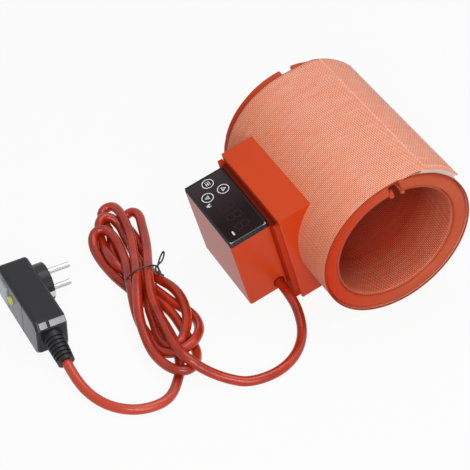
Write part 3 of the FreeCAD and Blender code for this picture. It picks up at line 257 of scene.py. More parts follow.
def blend_colours(tree, factor, a, b, kind="MIX"):
    """A colour Mix node between two written colours or sockets; returns its output."""
    mix = tree.nodes.new("ShaderNodeMix")
    mix.data_type = "RGBA"
    mix.blend_type = kind
    tree.links.new(factor, mix.inputs["Factor"])
    for socket, value in ((mix.inputs[6], a), (mix.inputs[7], b)):
        if isinstance(value, str):
            socket.default_value = colour(value)
        else:
            tree.links.new(value, socket)
    return mix.outputs[2]


def bump(tree, shader, height, strength, distance):
    """A Bump node between a height and the shader's normal."""
    node = tree.nodes.new("ShaderNodeBump")
    node.inputs["Strength"].default_value = strength
    node.inputs["Distance"].default_value = distance
    tree.links.new(height, node.inputs["Height"])
    tree.links.new(node.outputs[0], shader.inputs["Normal"])


def object_axes(tree):
    """The object's own X, Y and Z as sockets."""
    place = tree.nodes.new("ShaderNodeTexCoord")
    apart = tree.nodes.new("ShaderNodeSeparateXYZ")
    tree.links.new(place.outputs["Object"], apart.inputs[0])
    return apart.outputs


def fade(tree, value, start, end):
    """A mask that grows from 0 to 1 while a value goes from start to end."""
    ramp = tree.nodes.new("ShaderNodeMapRange")
    ramp.inputs["From Min"].default_value = start
    ramp.inputs["From Max"].default_value = end
    tree.links.new(value, ramp.inputs["Value"])
    return ramp.outputs[0]


def along_fade(tree, axis, start, end):
    """A mask that grows from 0 to 1 along one object axis."""
    return fade(tree, object_axes(tree)[axis], start, end)


def lay_over(tree, shader, mask, tone, kind="MIX"):
    """Another colour laid over the shader's own where the mask is 1."""
    base = shader.inputs["Base Color"].links[0].from_socket
    tree.links.new(blend_colours(tree, mask, base, tone, kind), shader.inputs["Base Color"])


print("material helpers ready")

# %% [markdown]
# ## Rubber, plastic and metal
# All hard finishes come from one recipe with different numbers: a colour and its shade,
# mottled by the grain group, a roughness, and a fine bump. Silicone is satin, the panel is
# glossy and nearly black, the plug's pins are polished metal. A table keeps them readable.

# %% Rubber, plastic and metal
GRAIN_DEPTH = 0.0004


def moulded(name, base, shade, rough=0.55, fine=900.0, broad=22.0, grain=0.12, specular=0.4, metallic=0.0):
    """Rubber, plastic or metal with faint mottling of the colour and a fine grain."""
    material, tree, shader = new_material(name, base, rough, metallic, specular)
    group = tree.nodes.new("ShaderNodeGroup")
    group.node_tree = GRAIN
    group.inputs["Fine"].default_value = fine
    group.inputs["Broad"].default_value = broad
    spread = fade(tree, group.outputs["Mottle"], 0.35, 0.65)
    tree.links.new(blend_colours(tree, spread, base, shade), shader.inputs["Base Color"])
    bump(tree, shader, group.outputs["Grain"], grain, GRAIN_DEPTH)
    return material, tree, shader


PLAIN = (
    ("moulded_silicone", "#CB4214", "#C73F13", 0.33, 1100.0, 18.0, 0.06, 0.22),
    ("lead_rubber", "#B83C28", "#A83522", 0.45),
    ("hook_and_loop", "#E4E2DF", "#CFCBC8", 0.8, 2600.0, 60.0, 0.9),
    ("panel_frame", "#1E191C", "#1A1518", 0.25, 900.0, 20.0, 0.03, 0.25),
    ("panel_key", "#2E2729", "#292224", 0.2, 900.0, 20.0, 0.02, 0.1),
    ("boot_rubber", "#161619", "#121215", 0.42, 1500.0, 25.0, 0.12, 0.3),
    ("inner_plastic", "#55555A", "#4C4C52", 0.5),
    ("circuit_board", "#2E6B45", "#27603D", 0.45, 300.0, 60.0, 0.05),
    ("small_switch", "#1F1F22", "#26262A", 0.5),
    ("digit_display", "#3B1416", "#341012", 0.3),
    ("relay_case", "#2A62B0", "#2558A0", 0.4),
    ("transformer", "#C9A227", "#B8931F", 0.5),
    ("terminal_plastic", "#3F8F5A", "#38824F", 0.5),
    ("core_insulation", "#8A5A3A", "#7E5033", 0.45),
    ("tie_wire", "#26262A", "#1F1F22", 0.4),
    ("test_plastic", "#D8D24A", "#CFC83F", 0.35),
    ("reset_plastic", "#B9C0C4", "#AEB6BA", 0.3),
    ("stitch_thread", "#FFD6C2", "#F8C8B2", 0.6),
    ("pale_label", "#A3A2AB", "#999AA3", 0.35),
    ("bezel_gloss", "#151114", "#120F11", 0.15, 900.0, 20.0, 0.01, 0.3),
    # The next two finishes are painted highlights for the panel's lip.
    ("painted_edge_highlight", "#7E777B", "#6A6468", 0.2, 900.0, 120.0, 0.02, 0.6),
    ("painted_corner_glint", "#C9C6CA", "#B9B6BA", 0.15, 900.0, 60.0, 0.01, 0.6),
    ("exit_shade", "#6A170B", "#5E140A", 0.5, 900.0, 60.0, 0.05, 0.2),
    ("print_white", "#E6E4E4", "#DAD8D8", 0.5),
    ("digit_red", "#35161B", "#301418", 0.2, 900.0, 22.0, 0.12, 0.15),
)
METALS = (
    ("conductor", "#B88A5A", "#A97C4E", 0.35),
    ("sensor_metal", "#B9B9BC", "#A9A9AD", 0.3),
    ("screw_steel", "#A9A9AD", "#98989C", 0.3),
    ("pin_metal", "#C9C9CC", "#B9B9BD", 0.22),
    ("contact_metal", "#D6D6D8", "#C9C9CC", 0.28),
)
for finish in PLAIN:
    M[finish[0]] = moulded(*finish)[0]
for finish in METALS:
    M[finish[0]] = moulded(*finish, metallic=1.0)[0]
print("plain finishes:", len(PLAIN), "and metals:", len(METALS))

# %% [markdown]
# ## Cloth
# The cover is glass cloth coated with silicone: raised salmon threads over darker gaps,
# with cut ends sealed in red. Flat cloth would use UV coordinates. This one is round, so
# the length over it comes from the angle round the bore, which fits both sheets with no
# seam. The cover carries a painted shade that makes it warmer and darker towards the box,
# and the mat carries a painted shade that darkens it deep in the bore.

# %% Cloth


def woven(name, radius, warp, weft, gap, pale, seal, ends, rough, threads, depth):
    """Cloth laid round the bore, with its cut ends sealed in silicone."""
    material, tree, shader = new_material(name, warp, rough, 0.0, 0.12)
    axes = object_axes(tree)
    turn = math_node(tree, "ARCTAN2", axes["X"], axes["Z"])
    group = tree.nodes.new("ShaderNodeGroup")
    group.node_tree = WEAVE
    tree.links.new(math_node(tree, "MULTIPLY", turn, radius), group.inputs["Across"])
    tree.links.new(math_node(tree, "MULTIPLY", axes["Y"], 0.8), group.inputs["Along"])
    group.inputs["Pitch"].default_value = 2 * math.pi * radius / threads
    yarn = blend_colours(tree, group.outputs["Over"], warp, weft)
    place = tree.nodes.new("ShaderNodeTexCoord")
    patch = tree.nodes.new("ShaderNodeTexNoise")
    patch.inputs["Scale"].default_value = 130.0
    patch.inputs["Detail"].default_value = 2.0
    tree.links.new(place.outputs["Object"], patch.inputs["Vector"])
    slub = math_node(tree, "MULTIPLY", group.outputs["Thread"], patch.outputs["Fac"])
    yarn = blend_colours(tree, math_node(tree, "MULTIPLY", slub, 0.6), yarn, pale)
    cloth_colour = blend_colours(tree, group.outputs["Gap"], yarn, gap)
    sealed = math_node(tree, "MAXIMUM", math_node(tree, "LESS_THAN", axes["Y"], ends[0]),
                       math_node(tree, "GREATER_THAN", axes["Y"], ends[1]))
    squares = math_node(tree, "ADD", math_node(tree, "POWER", axes["X"], 2.0),
                        math_node(tree, "POWER", axes["Z"], 2.0))
    away = math_node(tree, "POWER", squares, 0.5)
    wrapped = math_node(tree, "LESS_THAN", away, FOAM_OUT + COVER + 0.6 * MM)
    sealed = math_node(tree, "MULTIPLY", sealed, wrapped)
    tree.links.new(blend_colours(tree, sealed, cloth_colour, seal), shader.inputs["Base Color"])
    bump(tree, shader, group.outputs["Height"], 0.7, depth)
    return material, tree, shader


M["jacket_cloth"], tree, shader = woven(
    "jacket_cloth", FOAM_OUT, "#FFC8A8", "#FFA27C", "#BA3409", "#FFE2D0", "#A23C20",
    (NEAR + 1.1 * MM, COVER_FAR - 0.3 * MM), 0.6, 341, 0.2 * MM)
shader.inputs["Sheen Weight"].default_value = 0.08
shader.inputs["Sheen Roughness"].default_value = 0.4
# Painted shade: the cloth is multiplied to a warmer, darker tone on the side towards the box.
lay_over(tree, shader, along_fade(tree, "X", -22 * MM, -60 * MM), "#FFEADB", "MULTIPLY")

M["mat_cloth"], tree, shader = woven(
    "mat_cloth", BORE, "#FF9C76", "#FF7649", "#7E1606", "#FFC0A6", "#B4523A",
    (-MAT_END + 0.3 * MM, MAT_END - 0.3 * MM), 0.55, 271, 0.2 * MM)
# Painted shade: the mat is darkened deep in the bore, away from both open ends.
painted_bore_shade = math_node(tree, "MULTIPLY", along_fade(tree, "Y", -77 * MM, -36 * MM),
                 along_fade(tree, "Y", 77 * MM, 36 * MM))
lay_over(tree, shader, painted_bore_shade, "#CA8A78", "MULTIPLY")
print("cloths made")

# %% [markdown]
# ## Painted light and shade along the piece
# The sponge carries a painted shade that makes it a deeper red on the side of the box, the
# lead carries painted light that makes it paler where it runs to the plug, and the window's
# film carries a painted reflection that makes it greyer at its far end. Each could be
# painted on by hand. A mask along one axis does the same and follows the piece if its size
# is changed.

# %% Painted light and shade along the piece
M["sponge"], tree, shader = moulded("sponge", "#C65A3A", "#BE5232", 0.5, 1400.0, 30.0, 0.2, 0.12)
# Painted shade: the sponge turns a deeper red on the side towards the box.
lay_over(tree, shader, along_fade(tree, "X", 5 * MM, -60 * MM), "#C23208")
M["lead_sheath"], tree, shader = moulded("lead_sheath", "#B62E0C", "#901E04", 0.27, 700.0, 40.0, 0.04, 0.42)
# Painted light: the lead is paler where it runs out of the hank to the plug.
lay_over(tree, shader, along_fade(tree, "X", -188 * MM, -215 * MM), "#BC3C20")
M["panel_window"], tree, shader = moulded("panel_window", "#1B0C0E", "#170A0C", 0.12, 600.0, 30.0, 0.004, 0.1)
# Painted reflection: the window's film turns greyer towards its far end.
lay_over(tree, shader, along_fade(tree, "Y", -5 * MM, 46 * MM), "#3C3235")
print("fading finishes made")

# %% [markdown]
# ## The plug's face
# The plug is grained dark plastic, and its flat button face is a paler grey up to a dark
# band under the rim. The face isn't a piece of its own, so a mask picks it: the points at
# the plug's very front that lie below the band.

# %% The plug's face
FACE_SKIN = 0.12 * MM
FACE_TOP = FLOOR + 30.3 * MM
M["plug_plastic"], tree, shader = moulded("plug_plastic", "#1D1D21", "#18181C", 0.33, 1500.0, 25.0, 0.15, 0.3)
axes = object_axes(tree)
plug_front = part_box("plug_front_cover")[0][0]
face = math_node(tree, "MULTIPLY", math_node(tree, "LESS_THAN", axes["X"], plug_front + FACE_SKIN),
                 math_node(tree, "LESS_THAN", axes["Z"], FACE_TOP))
grey = blend_colours(tree, along_fade(tree, "Y", 35 * MM, -4 * MM), "#7A7981", "#57565D")
lay_over(tree, shader, face, grey)
print("the plug's face is at x", round(plug_front, 4))

# %% [markdown]
# ## Painted shade in the groove behind the panel
# The back plate is duller than the box, and its top lies in a narrow groove between the
# saddle and the panel, where little light gets in. A mask paints that shade on: it needs the
# height over the tilted box, which is a mix of Z and X, and stops at the box's ends.

# %% Painted shade in the groove behind the panel
GROOVE_MIDDLE, GROOVE_HALF = 3.5 * MM, 41 * MM
tilt = math.radians(ROLL)
M["plate_silicone"], tree, shader = moulded(
    "plate_silicone", "#C03A1E", "#B63318", 0.7, 1100.0, 18.0, 0.06, 0.08)
axes = object_axes(tree)
height = math_node(tree, "SUBTRACT", math_node(tree, "MULTIPLY", axes["Z"], math.cos(tilt)),
                   math_node(tree, "MULTIPLY", axes["X"], math.sin(tilt)))
plate_top = max(v.co.z * math.cos(tilt) - v.co.x * math.sin(tilt) for v in nodes["back_plate"].data.vertices)
offset = math_node(tree, "ABSOLUTE", math_node(tree, "ADD", axes["Y"], -GROOVE_MIDDLE))
# Painted shade: the plate's top is darkened along the groove.
painted_groove_shade = math_node(tree, "MULTIPLY", fade(tree, height, plate_top - 4 * MM, plate_top - 0.5 * MM),
                   math_node(tree, "LESS_THAN", offset, GROOVE_HALF))
lay_over(tree, shader, painted_groove_shade, "#6E1B0E")
print("the groove is at height", round(plate_top, 4))

# %% [markdown]
# ## Hand the materials out
# Every CAD part names the finish it wants in its material slot. The names are looked up
# and the plain stand-ins are replaced. The back plate alone gets a duller finish.

# %% Hand the materials out
for node in nodes.values():
    for place in node.material_slots:
        place.material = M[place.material.name.split(".")[0]]
nodes["back_plate"].material_slots[0].material = M["plate_silicone"]
print("materials made:", len(M))

# %% [markdown]
# ## The woven cover
# On the real jacket a strip of coated glass cloth is wrapped once round the sponge and
# glued. It starts just past the slit, goes right round, lifts off at the slit's other
# edge and lies over the fastening strips as a flap. It could be a solid, but cloth is a
# sheet. So a row of points along the bore is swept round the section, and a Solidify
# modifier gives the thickness.

# %% The woven cover


def straight_row(bm, x, z, near, far, parts):
    """A row of edges along Y, from which a sheet is swept."""
    start = bm.verts.new((x, near, z))
    edge = bm.edges.new((start, bm.verts.new((x, far, z))))
    bmesh.ops.subdivide_edges(bm, edges=[edge], cuts=parts - 1)
    return list(bm.verts) + list(bm.edges)


def sweep(bm, row, centre, degrees, steps):
    """The row turned about an axis along Y; returns the last row."""
    made = bmesh.ops.spin(
        bm, geom=row, cent=(centre[0], 0, centre[1]), axis=(0, 1, 0),
        angle=math.radians(degrees), steps=steps, use_duplicate=False,
    )
    return made["geom_last"]


def push(bm, row, move, steps):
    """The row extruded in a straight line; returns the last row."""
    for _ in range(steps):
        edges = [g for g in row if isinstance(g, bmesh.types.BMEdge)]
        made = bmesh.ops.extrude_edge_only(bm, edges=edges)["geom"]
        verts = [g for g in made if isinstance(g, bmesh.types.BMVert)]
        bmesh.ops.translate(bm, verts=verts, vec=(move[0] / steps, 0, move[1] / steps))
        fresh = set(verts)
        row = verts + [
            g for g in made if isinstance(g, bmesh.types.BMEdge) and all(v in fresh for v in g.verts)
        ]
    return row


def soften(bm, size, scale):
    """Slow, small waves along each point's way out from the bore."""
    for v in bm.verts:
        out = Vector((v.co.x, 0, v.co.z)).normalized()
        v.co += out * size * noise.noise(v.co * scale)


def face_outwards(obj):
    """An open sheet round the bore gets its normals pointing away from it."""
    face = obj.data.polygons[0]
    if face.normal.dot(Vector((face.center.x, 0, face.center.z))) < 0:
        obj.data.flip_normals()


def thicken(obj, wall, offset):
    """A Solidify modifier with an even wall."""
    solid = obj.modifiers.new("wall", "SOLIDIFY")
    solid.thickness = wall
    solid.offset = offset
    solid.use_even_offset = True


print("sheet helpers ready")

# %% [markdown]
# ## Sweep the cover
# The section has four parts: the turn round the sponge, a short straight rise over the
# fastening strips, a bend, and the flap that lies on them. Each part goes on from the last
# row of the one before, so the cloth stays one sheet with no seam. The length of the
# section is the width that a maker would cut.

# %% Sweep the cover
rise = math.sqrt((FLAP_IN - FLAP_BEND) ** 2 - (FOAM_OUT - FLAP_BEND) ** 2)
settle = math.degrees(math.atan2(rise, FOAM_OUT - FLAP_BEND))
wrap_turn = LIFT + 360 - COVER_START
flap_turn = FLAP_END - LIFT - settle
away = Vector(on_arc(1.0, LIFT))
along = Vector((away.y, -away.x))

bm = bmesh.new()
row = straight_row(bm, *on_arc(FOAM_OUT, COVER_START), NEAR, COVER_FAR, 60)
row = sweep(bm, row, (0, 0), wrap_turn, 160)
row = push(bm, row, along * rise, 8)
row = sweep(bm, row, away * (FOAM_OUT - FLAP_BEND) + along * rise, settle, 10)
row = sweep(bm, row, (0, 0), flap_turn, 20)
soften(bm, 0.15 * MM, 24)
wrap = add("outer_wrap", bm, M["jacket_cloth"])
face_outwards(wrap)
thicken(wrap, COVER, 1.0)
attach(wrap, "blanket")
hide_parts("outer_cover")

# %% [markdown]
# ## The sponge
# The thick layer is silicone sponge, moulded as a sheet and rolled. The slit lets the
# jacket open wide enough to go round a cylinder. A bent box would do, but the CAD part
# already has the right slit. A merged copy of it is remeshed into even faces and smoothed
# three times, so that its edges are soft. Slow noise then draws it in a little.

# %% The sponge


def merged_copy(name, source, material):
    """A copy of a CAD mesh with its loose triangles joined."""
    bm = bmesh.new()
    bm.from_mesh(source.data)
    return add(name, bm, material)


FOAM_FACE = 1.7 * MM
SMOOTHINGS = 3
sponge = merged_copy("sponge_jacket", nodes["insulation_foam"], M["sponge"])
remesh = sponge.modifiers.new("soften", "REMESH")
remesh.mode = "VOXEL"
remesh.voxel_size = FOAM_FACE
bpy.context.view_layer.update()
soft = bpy.data.meshes.new_from_object(sponge.evaluated_get(bpy.context.evaluated_depsgraph_get()))
sponge.modifiers.clear()
sponge.data = soft
bm = bmesh.new()
bm.from_mesh(soft)
for _ in range(SMOOTHINGS):
    bmesh.ops.smooth_vert(bm, verts=bm.verts, factor=0.5, use_axis_x=True, use_axis_y=True, use_axis_z=True)
for v in bm.verts:
    v.co += v.normal * (noise.noise(v.co * 45) - 0.8) * 0.25 * MM
bm.to_mesh(soft)
bm.free()
soft.shade_smooth()
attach(sponge, "blanket")
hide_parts("insulation_foam")
print("sponge vertices:", len(sponge.data.vertices))

# %% [markdown]
# ## The heating mat inside
# The mat is two layers of glass cloth with the heating wire between them. It lines the
# bore and ends at the slit. The CAD solid has long thin faces, which can't take any waves.
# So the mat is swept like the cover, as one row turned from one side of the slit to the
# other, and then thickened to both sides of its middle.

# %% The heating mat
mat_start, mat_end = 14.6 - ROLL, 5.3 - ROLL + 360
MAT_WALL = 1.3 * MM
middle = BORE + 0.7 * MM
bm = bmesh.new()
row = straight_row(bm, *on_arc(middle, mat_start), -MAT_END, MAT_END, 50)
row = sweep(bm, row, (0, 0), mat_end - mat_start, 150)
soften(bm, 0.1 * MM, 20)
lining = add("bore_lining", bm, M["mat_cloth"])
face_outwards(lining)
thicken(lining, MAT_WALL, 0.0)
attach(lining, "blanket")
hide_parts("heating_mat")

# %% [markdown]
# ## The way of the mains lead
# A rubber lead this long is sold folded into a hank. A spiral from a formula would be
# quicker to write, but each strand of a real hank goes its own way over and under the
# others. So the photo's shape was traced strand by strand, in mm: across, along, and the
# height above the table. The lowest strands touch it, and the others lie on them.

# %% The way of the mains lead
LEAD = (
    (-75.49, -31.6, 16.11), (-75.49, -45, 16.11), (-75, -61, 11.2), (-82, -82, 5.4), (-99, -99.5, 4.2),
    (-121, -108, 4.2), (-144, -106, 4.2),
)
D_UP = (
    (-155, -97, 4.5), (-165, -89, 8), (-174, -83.5, 15), (-180.5, -75, 20), (-182.5, -64, 20),
    (-182, -50, 19.5), (-180, -37, 17.5), (-177, -20, 16.5), (-175, -5, 17), (-171, 8, 19), (-166, 20, 20),
    (-160, 34, 18.5), (-153.5, 48, 16), (-148, 61, 14), (-143.5, 74, 12.5), (-140, 86, 12),
    (-137.3, 94, 12), (-137.2, 102, 11), (-140.4, 106.4, 9.2), (-145.9, 106.5, 6.2),
)
D_DOWN = (
    (-149.2, 102.2, 4.3), (-148.8, 96, 4), (-148, 87, 4), (-148.5, 77, 4), (-149.5, 67, 4),
    (-151.5, 57, 4.5), (-154, 47, 5), (-156.5, 38, 6.5),
    (-157, 29, 8), (-154.5, 19, 9.5), (-151, 8, 11), (-150.5, -7, 12), (-154, -22, 12),
    (-159.5, -34, 12), (-166.5, -43.3, 12), (-172.8, -49.3, 12), (-179.3, -50.6, 11.4),
)
B_UP = (
    (-184, -46.4, 9.6), (-185, -38.5, 7), (-182.4, -26, 4.6), (-179, -13, 5), (-177.5, -2, 9),
    (-172.5, 8, 12), (-169.5, 18, 13), (-167.5, 28, 12.5), (-164.5, 37, 11.5), (-161, 46, 9.5),
    (-159.3, 55, 7), (-158.3, 65, 5), (-157, 76, 4), (-155.5, 87, 4), (-154.2, 95.3, 5),
    (-155.1, 100.9, 7), (-158, 106.5, 10.5), (-164.2, 108.8, 12), (-169.5, 106, 10.5),
)
B_DOWN = (
    (-172.4, 100.4, 6.5), (-174, 94.6, 4), (-176.4, 84.4, 5), (-178.8, 72, 8), (-179.7, 61, 10),
    (-178.4, 52.6, 9), (-175, 46.2, 6), (-171.5, 28, 4), (-168.5, 17, 4), (-166, 7, 4), (-163, -3, 4),
    (-161.5, -15, 4), (-162, -28, 4), (-163, -39, 4), (-163, -49, 4), (-164, -58, 4.5),
    (-168.5, -67, 6.5), (-174.5, -75, 10),
)
C_UP = (
    (-182, -79, 12), (-189.5, -76, 12), (-194, -67, 11), (-196, -56, 9.5), (-196.5, -44, 9.5),
    (-195, -31, 11.5), (-192, -17, 13), (-188, -5, 14.5), (-182.5, 7, 17), (-177, 19, 19),
    (-171.5, 31, 18.5), (-166.5, 44, 16), (-162, 56, 14), (-158, 67, 13), (-154.5, 78, 12.5),
    (-152, 88, 12), (-150.3, 98, 12.2), (-149.2, 110, 11.5), (-149.6, 118.5, 9.6), (-153, 122.3, 8),
)
C_DOWN = (
    (-158.4, 122.3, 6.4), (-161.8, 118.5, 5), (-162.3, 112, 4), (-163.5, 105, 4),
    (-163.8, 97.5, 4), (-166.4, 89.6, 4), (-169.9, 80.3, 4),
    (-173.9, 70.6, 4), (-174.6, 60.9, 4), (-173.2, 51.2, 4), (-164.5, 38, 4),
    (-163.5, 28, 4), (-161.5, 18, 4), (-158.5, 8, 4), (-156, -1, 4), (-152.5, -9, 4), (-149, -17, 4),
    (-148, -26, 4.5), (-150.5, -37, 7), (-156, -47, 11),
)
A_UP = (
    (-164, -54.5, 12.5), (-172.5, -58, 12.5), (-181, -58.5, 12), (-187.5, -54, 9.5), (-190.5, -45, 6),
    (-190, -34, 4.5), (-189.5, -22, 4), (-189.5, -12, 4.3), (-188, -2, 5.5), (-185.5, 8, 8),
    (-182, 19, 11), (-179, 29, 13), (-176.9, 35.2, 14), (-173.4, 45.1, 13), (-170.3, 56.6, 11),
    (-168.3, 66.7, 10), (-167, 76.1, 10), (-166.7, 83.5, 11), (-168.3, 89.6, 12.2), (-171.3, 94, 13),
)
A_DOWN = (
    (-176.9, 95.8, 12.2), (-182.2, 92.4, 9.4), (-184.9, 84.5, 6.2), (-185.6, 76.6, 5),
    (-185.4, 66.8, 4), (-184.8, 56.6, 4), (-183.6, 46.6, 4), (-181.7, 38.1, 4), (-179.5, 29, 4),
    (-178, 19, 4), (-175.5, 9, 4), (-172, 0, 4), (-172, -9, 4), (-172.5, -21, 4), (-173.5, -34, 4),
    (-175.5, -45, 4), (-178, -55, 4), (-182, -65, 4), (-188, -75, 4),
)
TAIL = (
    (-202, -90.5, 4.2), (-216, -94, 4.2), (-233.5, -90, 4.2), (-248, -77.5, 4.2), (-256.5, -60, 4.8),
    (-260, -42, 8.23), (-260, -27.38, 11.6),
)
route = [p for part in (LEAD, D_UP, D_DOWN, B_UP, B_DOWN, C_UP, C_DOWN, A_UP, A_DOWN, TAIL) for p in part]
print("points on the lead's way:", len(route))

# %% [markdown]
# ## The mains lead
# A lead is round and even, so it is a curve with a bevel and no mesh. A NURBS curve passes
# near its points and has no kinks, as rubber has none. Its length is measured on a copy
# without thickness, whose mesh is the middle line alone.

# %% The mains lead


def tube(name, points, radius, material, sides=8):
    """A round curve through control points given in mm, with heights above the table."""
    curve = bpy.data.curves.new(name, "CURVE")
    curve.dimensions = "3D"
    curve.bevel_depth = radius
    curve.bevel_resolution = sides
    curve.use_fill_caps = True
    curve.resolution_u = 6
    spline = curve.splines.new("NURBS")
    spline.points.add(len(points) - 1)
    for point, (x, y, h) in zip(spline.points, points):
        point.co = (x * MM, y * MM, FLOOR + h * MM, 1.0)
    spline.order_u = 3
    spline.use_endpoint_u = True
    obj = bpy.data.objects.new(name, curve)
    bpy.context.scene.collection.objects.link(obj)
    curve.materials.append(material)
    return obj


def run_length(obj):
    """The length of a curve's middle line, measured on a copy without thickness."""
    plain = obj.data.copy()
    plain.bevel_depth = 0
    twin = bpy.data.objects.new("measure", plain)
    bpy.context.scene.collection.objects.link(twin)
    bpy.context.view_layer.update()
    mesh = twin.to_mesh()
    total = sum(
        (mesh.vertices[e.vertices[0]].co - mesh.vertices[e.vertices[1]].co).length for e in mesh.edges)
    twin.to_mesh_clear()
    bpy.data.objects.remove(twin)
    bpy.data.curves.remove(plain)
    return total


lead = tube("mains_lead", route, CORD / 2, M["lead_sheath"])
lead_length = run_length(lead)
print("the lead is", round(lead_length, 4), "m long")

# %% [markdown]
# ## The twist tie
# A black wire coated with plastic goes once round the waist of the hank and is twisted
# shut. It is traced like the lead: over the hank, down its far side, back under it close to
# the table, and up to the twisted end. It is so thin that its bevel needs fewer sides.

# %% The twist tie
tie_route = (
    (-155.5, 24, 13), (-153.5, 25.5, 18), (-157, 26, 22.5), (-163, 25.5, 25), (-170, 25.8, 25.3),
    (-177, 27.5, 22.5), (-181.8, 28.5, 16), (-184, 28.5, 9), (-182.5, 28, 2.5), (-176, 27.5, 0.8),
    (-166, 27, 0.7), (-156, 26.8, 0.8), (-151.2, 27.5, 5),
    (-151.5, 28.5, 11), (-153.5, 29.5, 15), (-151.5, 32, 17), (-147.9, 36.2, 18.2),
    (-144.4, 39.8, 18), (-141.2, 42.6, 17.6), (-142.2, 39.6, 16.8), (-145, 36.2, 16), (-148.3, 33.4, 15.6),
    (-152.5, 31.5, 16), (-156, 28.5, 16.5), (-157, 24.5, 16.5), (-154.5, 21.5, 15.5), (-152.5, 20, 14),
)
TIE_RADIUS = 0.7 * MM
tie = tube("twist_tie", tie_route, TIE_RADIUS, M["tie_wire"], 3)
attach(tie, "blanket")
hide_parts("cord_tie")
print("points on the tie's way:", len(tie_route))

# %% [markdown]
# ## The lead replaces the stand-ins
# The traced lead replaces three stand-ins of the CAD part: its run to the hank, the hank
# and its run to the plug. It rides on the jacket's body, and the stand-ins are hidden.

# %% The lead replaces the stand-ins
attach(lead, "blanket")
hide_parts("cord_lead", "cord_hank", "cord_tail")
print("the lead ends in the plug and is tied at its waist")

# %% [markdown]
# ## Marks on the panel
# The panel is a printed film under a clear window. Its keys carry white rings and signs,
# and three dark red figures sit behind the window. They could be printed on with a
# picture. Here they are thin shapes made from circles and grids, which stay sharp near by,
# and one matrix lays each of them on the tilted panel.

# %% The panel's own frame
INWARD = Vector((math.cos(tilt), 0, math.sin(tilt)))
UPWARD = Vector((-math.sin(tilt), 0, math.cos(tilt)))


def device(point):
    """A world point as (outward, along, up) of the tilted box."""
    return (-INWARD.dot(point), point[1], UPWARD.dot(point))


def reach(node):
    """Lowest and highest (outward, along, up) of a CAD node."""
    points = [device(v.co) for v in nodes[node].data.vertices]
    return [min(p[i] for p in points) for i in range(3)], [max(p[i] for p in points) for i in range(3)]


def on_panel(outward, y, up):
    """The matrix of a place on the panel: x points to the cylinder, z out of the panel."""
    point = -INWARD * outward + Vector((0, y, 0)) + UPWARD * up
    turn = Matrix((INWARD, Vector((0, 1, 0)), UPWARD)).transposed()
    return Matrix.Translation(point) @ turn.to_4x4()


print("the panel tilts by", ROLL, "degrees")

# %% [markdown]
# ## Bars and rings
# A mark is drawn flat at the origin from bars and rings, where its numbers are easy to
# read. Then it gets the thickness of a layer of print and is moved to its place.

# %% Bars and rings


def bar(bm, x, y, long_x, long_y):
    """A flat rectangle in a mark."""
    size = Matrix.Diagonal((long_x / 2, long_y / 2, 1, 1))
    place = Matrix.Translation((x, y, 0))
    bmesh.ops.create_grid(bm, x_segments=1, y_segments=1, size=1, matrix=place @ size)


def hoop(bm, radius, line, parts, turn=0.0):
    """A flat ring, or an outline triangle where it has three parts."""
    ring = bmesh.ops.create_circle(
        bm, segments=parts, radius=radius, matrix=Matrix.Rotation(turn, 4, "Z"))["verts"]
    edges = list({e for v in ring for e in v.link_edges})
    inner = bmesh.ops.extrude_edge_only(bm, edges=edges)["geom"]
    verts = [g for g in inner if isinstance(g, bmesh.types.BMVert)]
    bmesh.ops.scale(bm, verts=verts, vec=((radius - line) / radius,) * 2 + (1,))


def raise_faces(bm, move):
    """All faces extruded by a move, which gives a flat shape a thickness."""
    made = bmesh.ops.extrude_face_region(bm, geom=bm.faces[:])["geom"]
    bmesh.ops.translate(bm, verts=[g for g in made if isinstance(g, bmesh.types.BMVert)], vec=move)


def mark(name, bm, matrix, material, body, thick=0.05 * MM):
    """A flat drawing raised a little, set on the panel and riding on a body."""
    raise_faces(bm, (0, 0, thick))
    bmesh.ops.transform(bm, matrix=matrix, verts=bm.verts)
    obj = add(name, bm, M[material])
    obj.data.shade_flat()
    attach(obj, body)


print("mark helpers ready")

# %% [markdown]
# ## Rings and signs on the keys
# Each key has a white ring with a sign in it: a list, an arrow up or an arrow down. The
# ring is a circle whose edge is extruded and drawn inwards, and a ring of three parts is
# the arrow. Every mark rides on its own key, so it goes down when the key is pressed.

# %% Rings and signs on the keys
RING, RING_LINE = 5.05 * MM, 0.75 * MM
ARROW, ARROW_LINE = 2.7 * MM, 1.35 * MM
for key, sign in (("key_menu", "list"), ("key_up", "up"), ("key_down", "down")):
    low, high = reach(key)
    bm = bmesh.new()
    hoop(bm, RING, RING_LINE, 48)
    if sign == "list":
        for x in (-1.5, 0, 1.5):
            bar(bm, x * MM, -0.5 * MM, 0.75 * MM, 3.2 * MM)
            bar(bm, x * MM, 2.0 * MM, 0.75 * MM, 0.8 * MM)
    else:
        hoop(bm, ARROW, ARROW_LINE, 3, math.radians(-90 if sign == "up" else 90))
    centre = [(a + b) / 2 for a, b in zip(low, high)]
    mark("sign_" + key, bm, on_panel(centre[0], centre[1], high[2]), "print_white", key)
print("keys marked")

# %% [markdown]
# ## Figures behind the window and small signs
# The display has three figures of seven strokes each, which look dark red while it is off.
# Text would need a font of this kind. Three bars one way and four the other say the same.
# The small signs beside them are circles and bars too.

# %% Figures behind the window and small signs
glass = reach("display_window")[1][2]
bm = bmesh.new()
for y in (6.0, -6.0, -18.0):
    for x in (-6.0, 0.0, 6.0):
        bar(bm, x * MM, y * MM, 0.9 * MM, 5.0 * MM)
    for x in (-3.0, 3.0):
        for side in (-3.1, 3.1):
            bar(bm, x * MM, (y + side) * MM, 4.6 * MM, 0.9 * MM)
mark("figures", bm, on_panel(96.0 * MM, 0, glass), "digit_red", "blanket", 0.02 * MM)

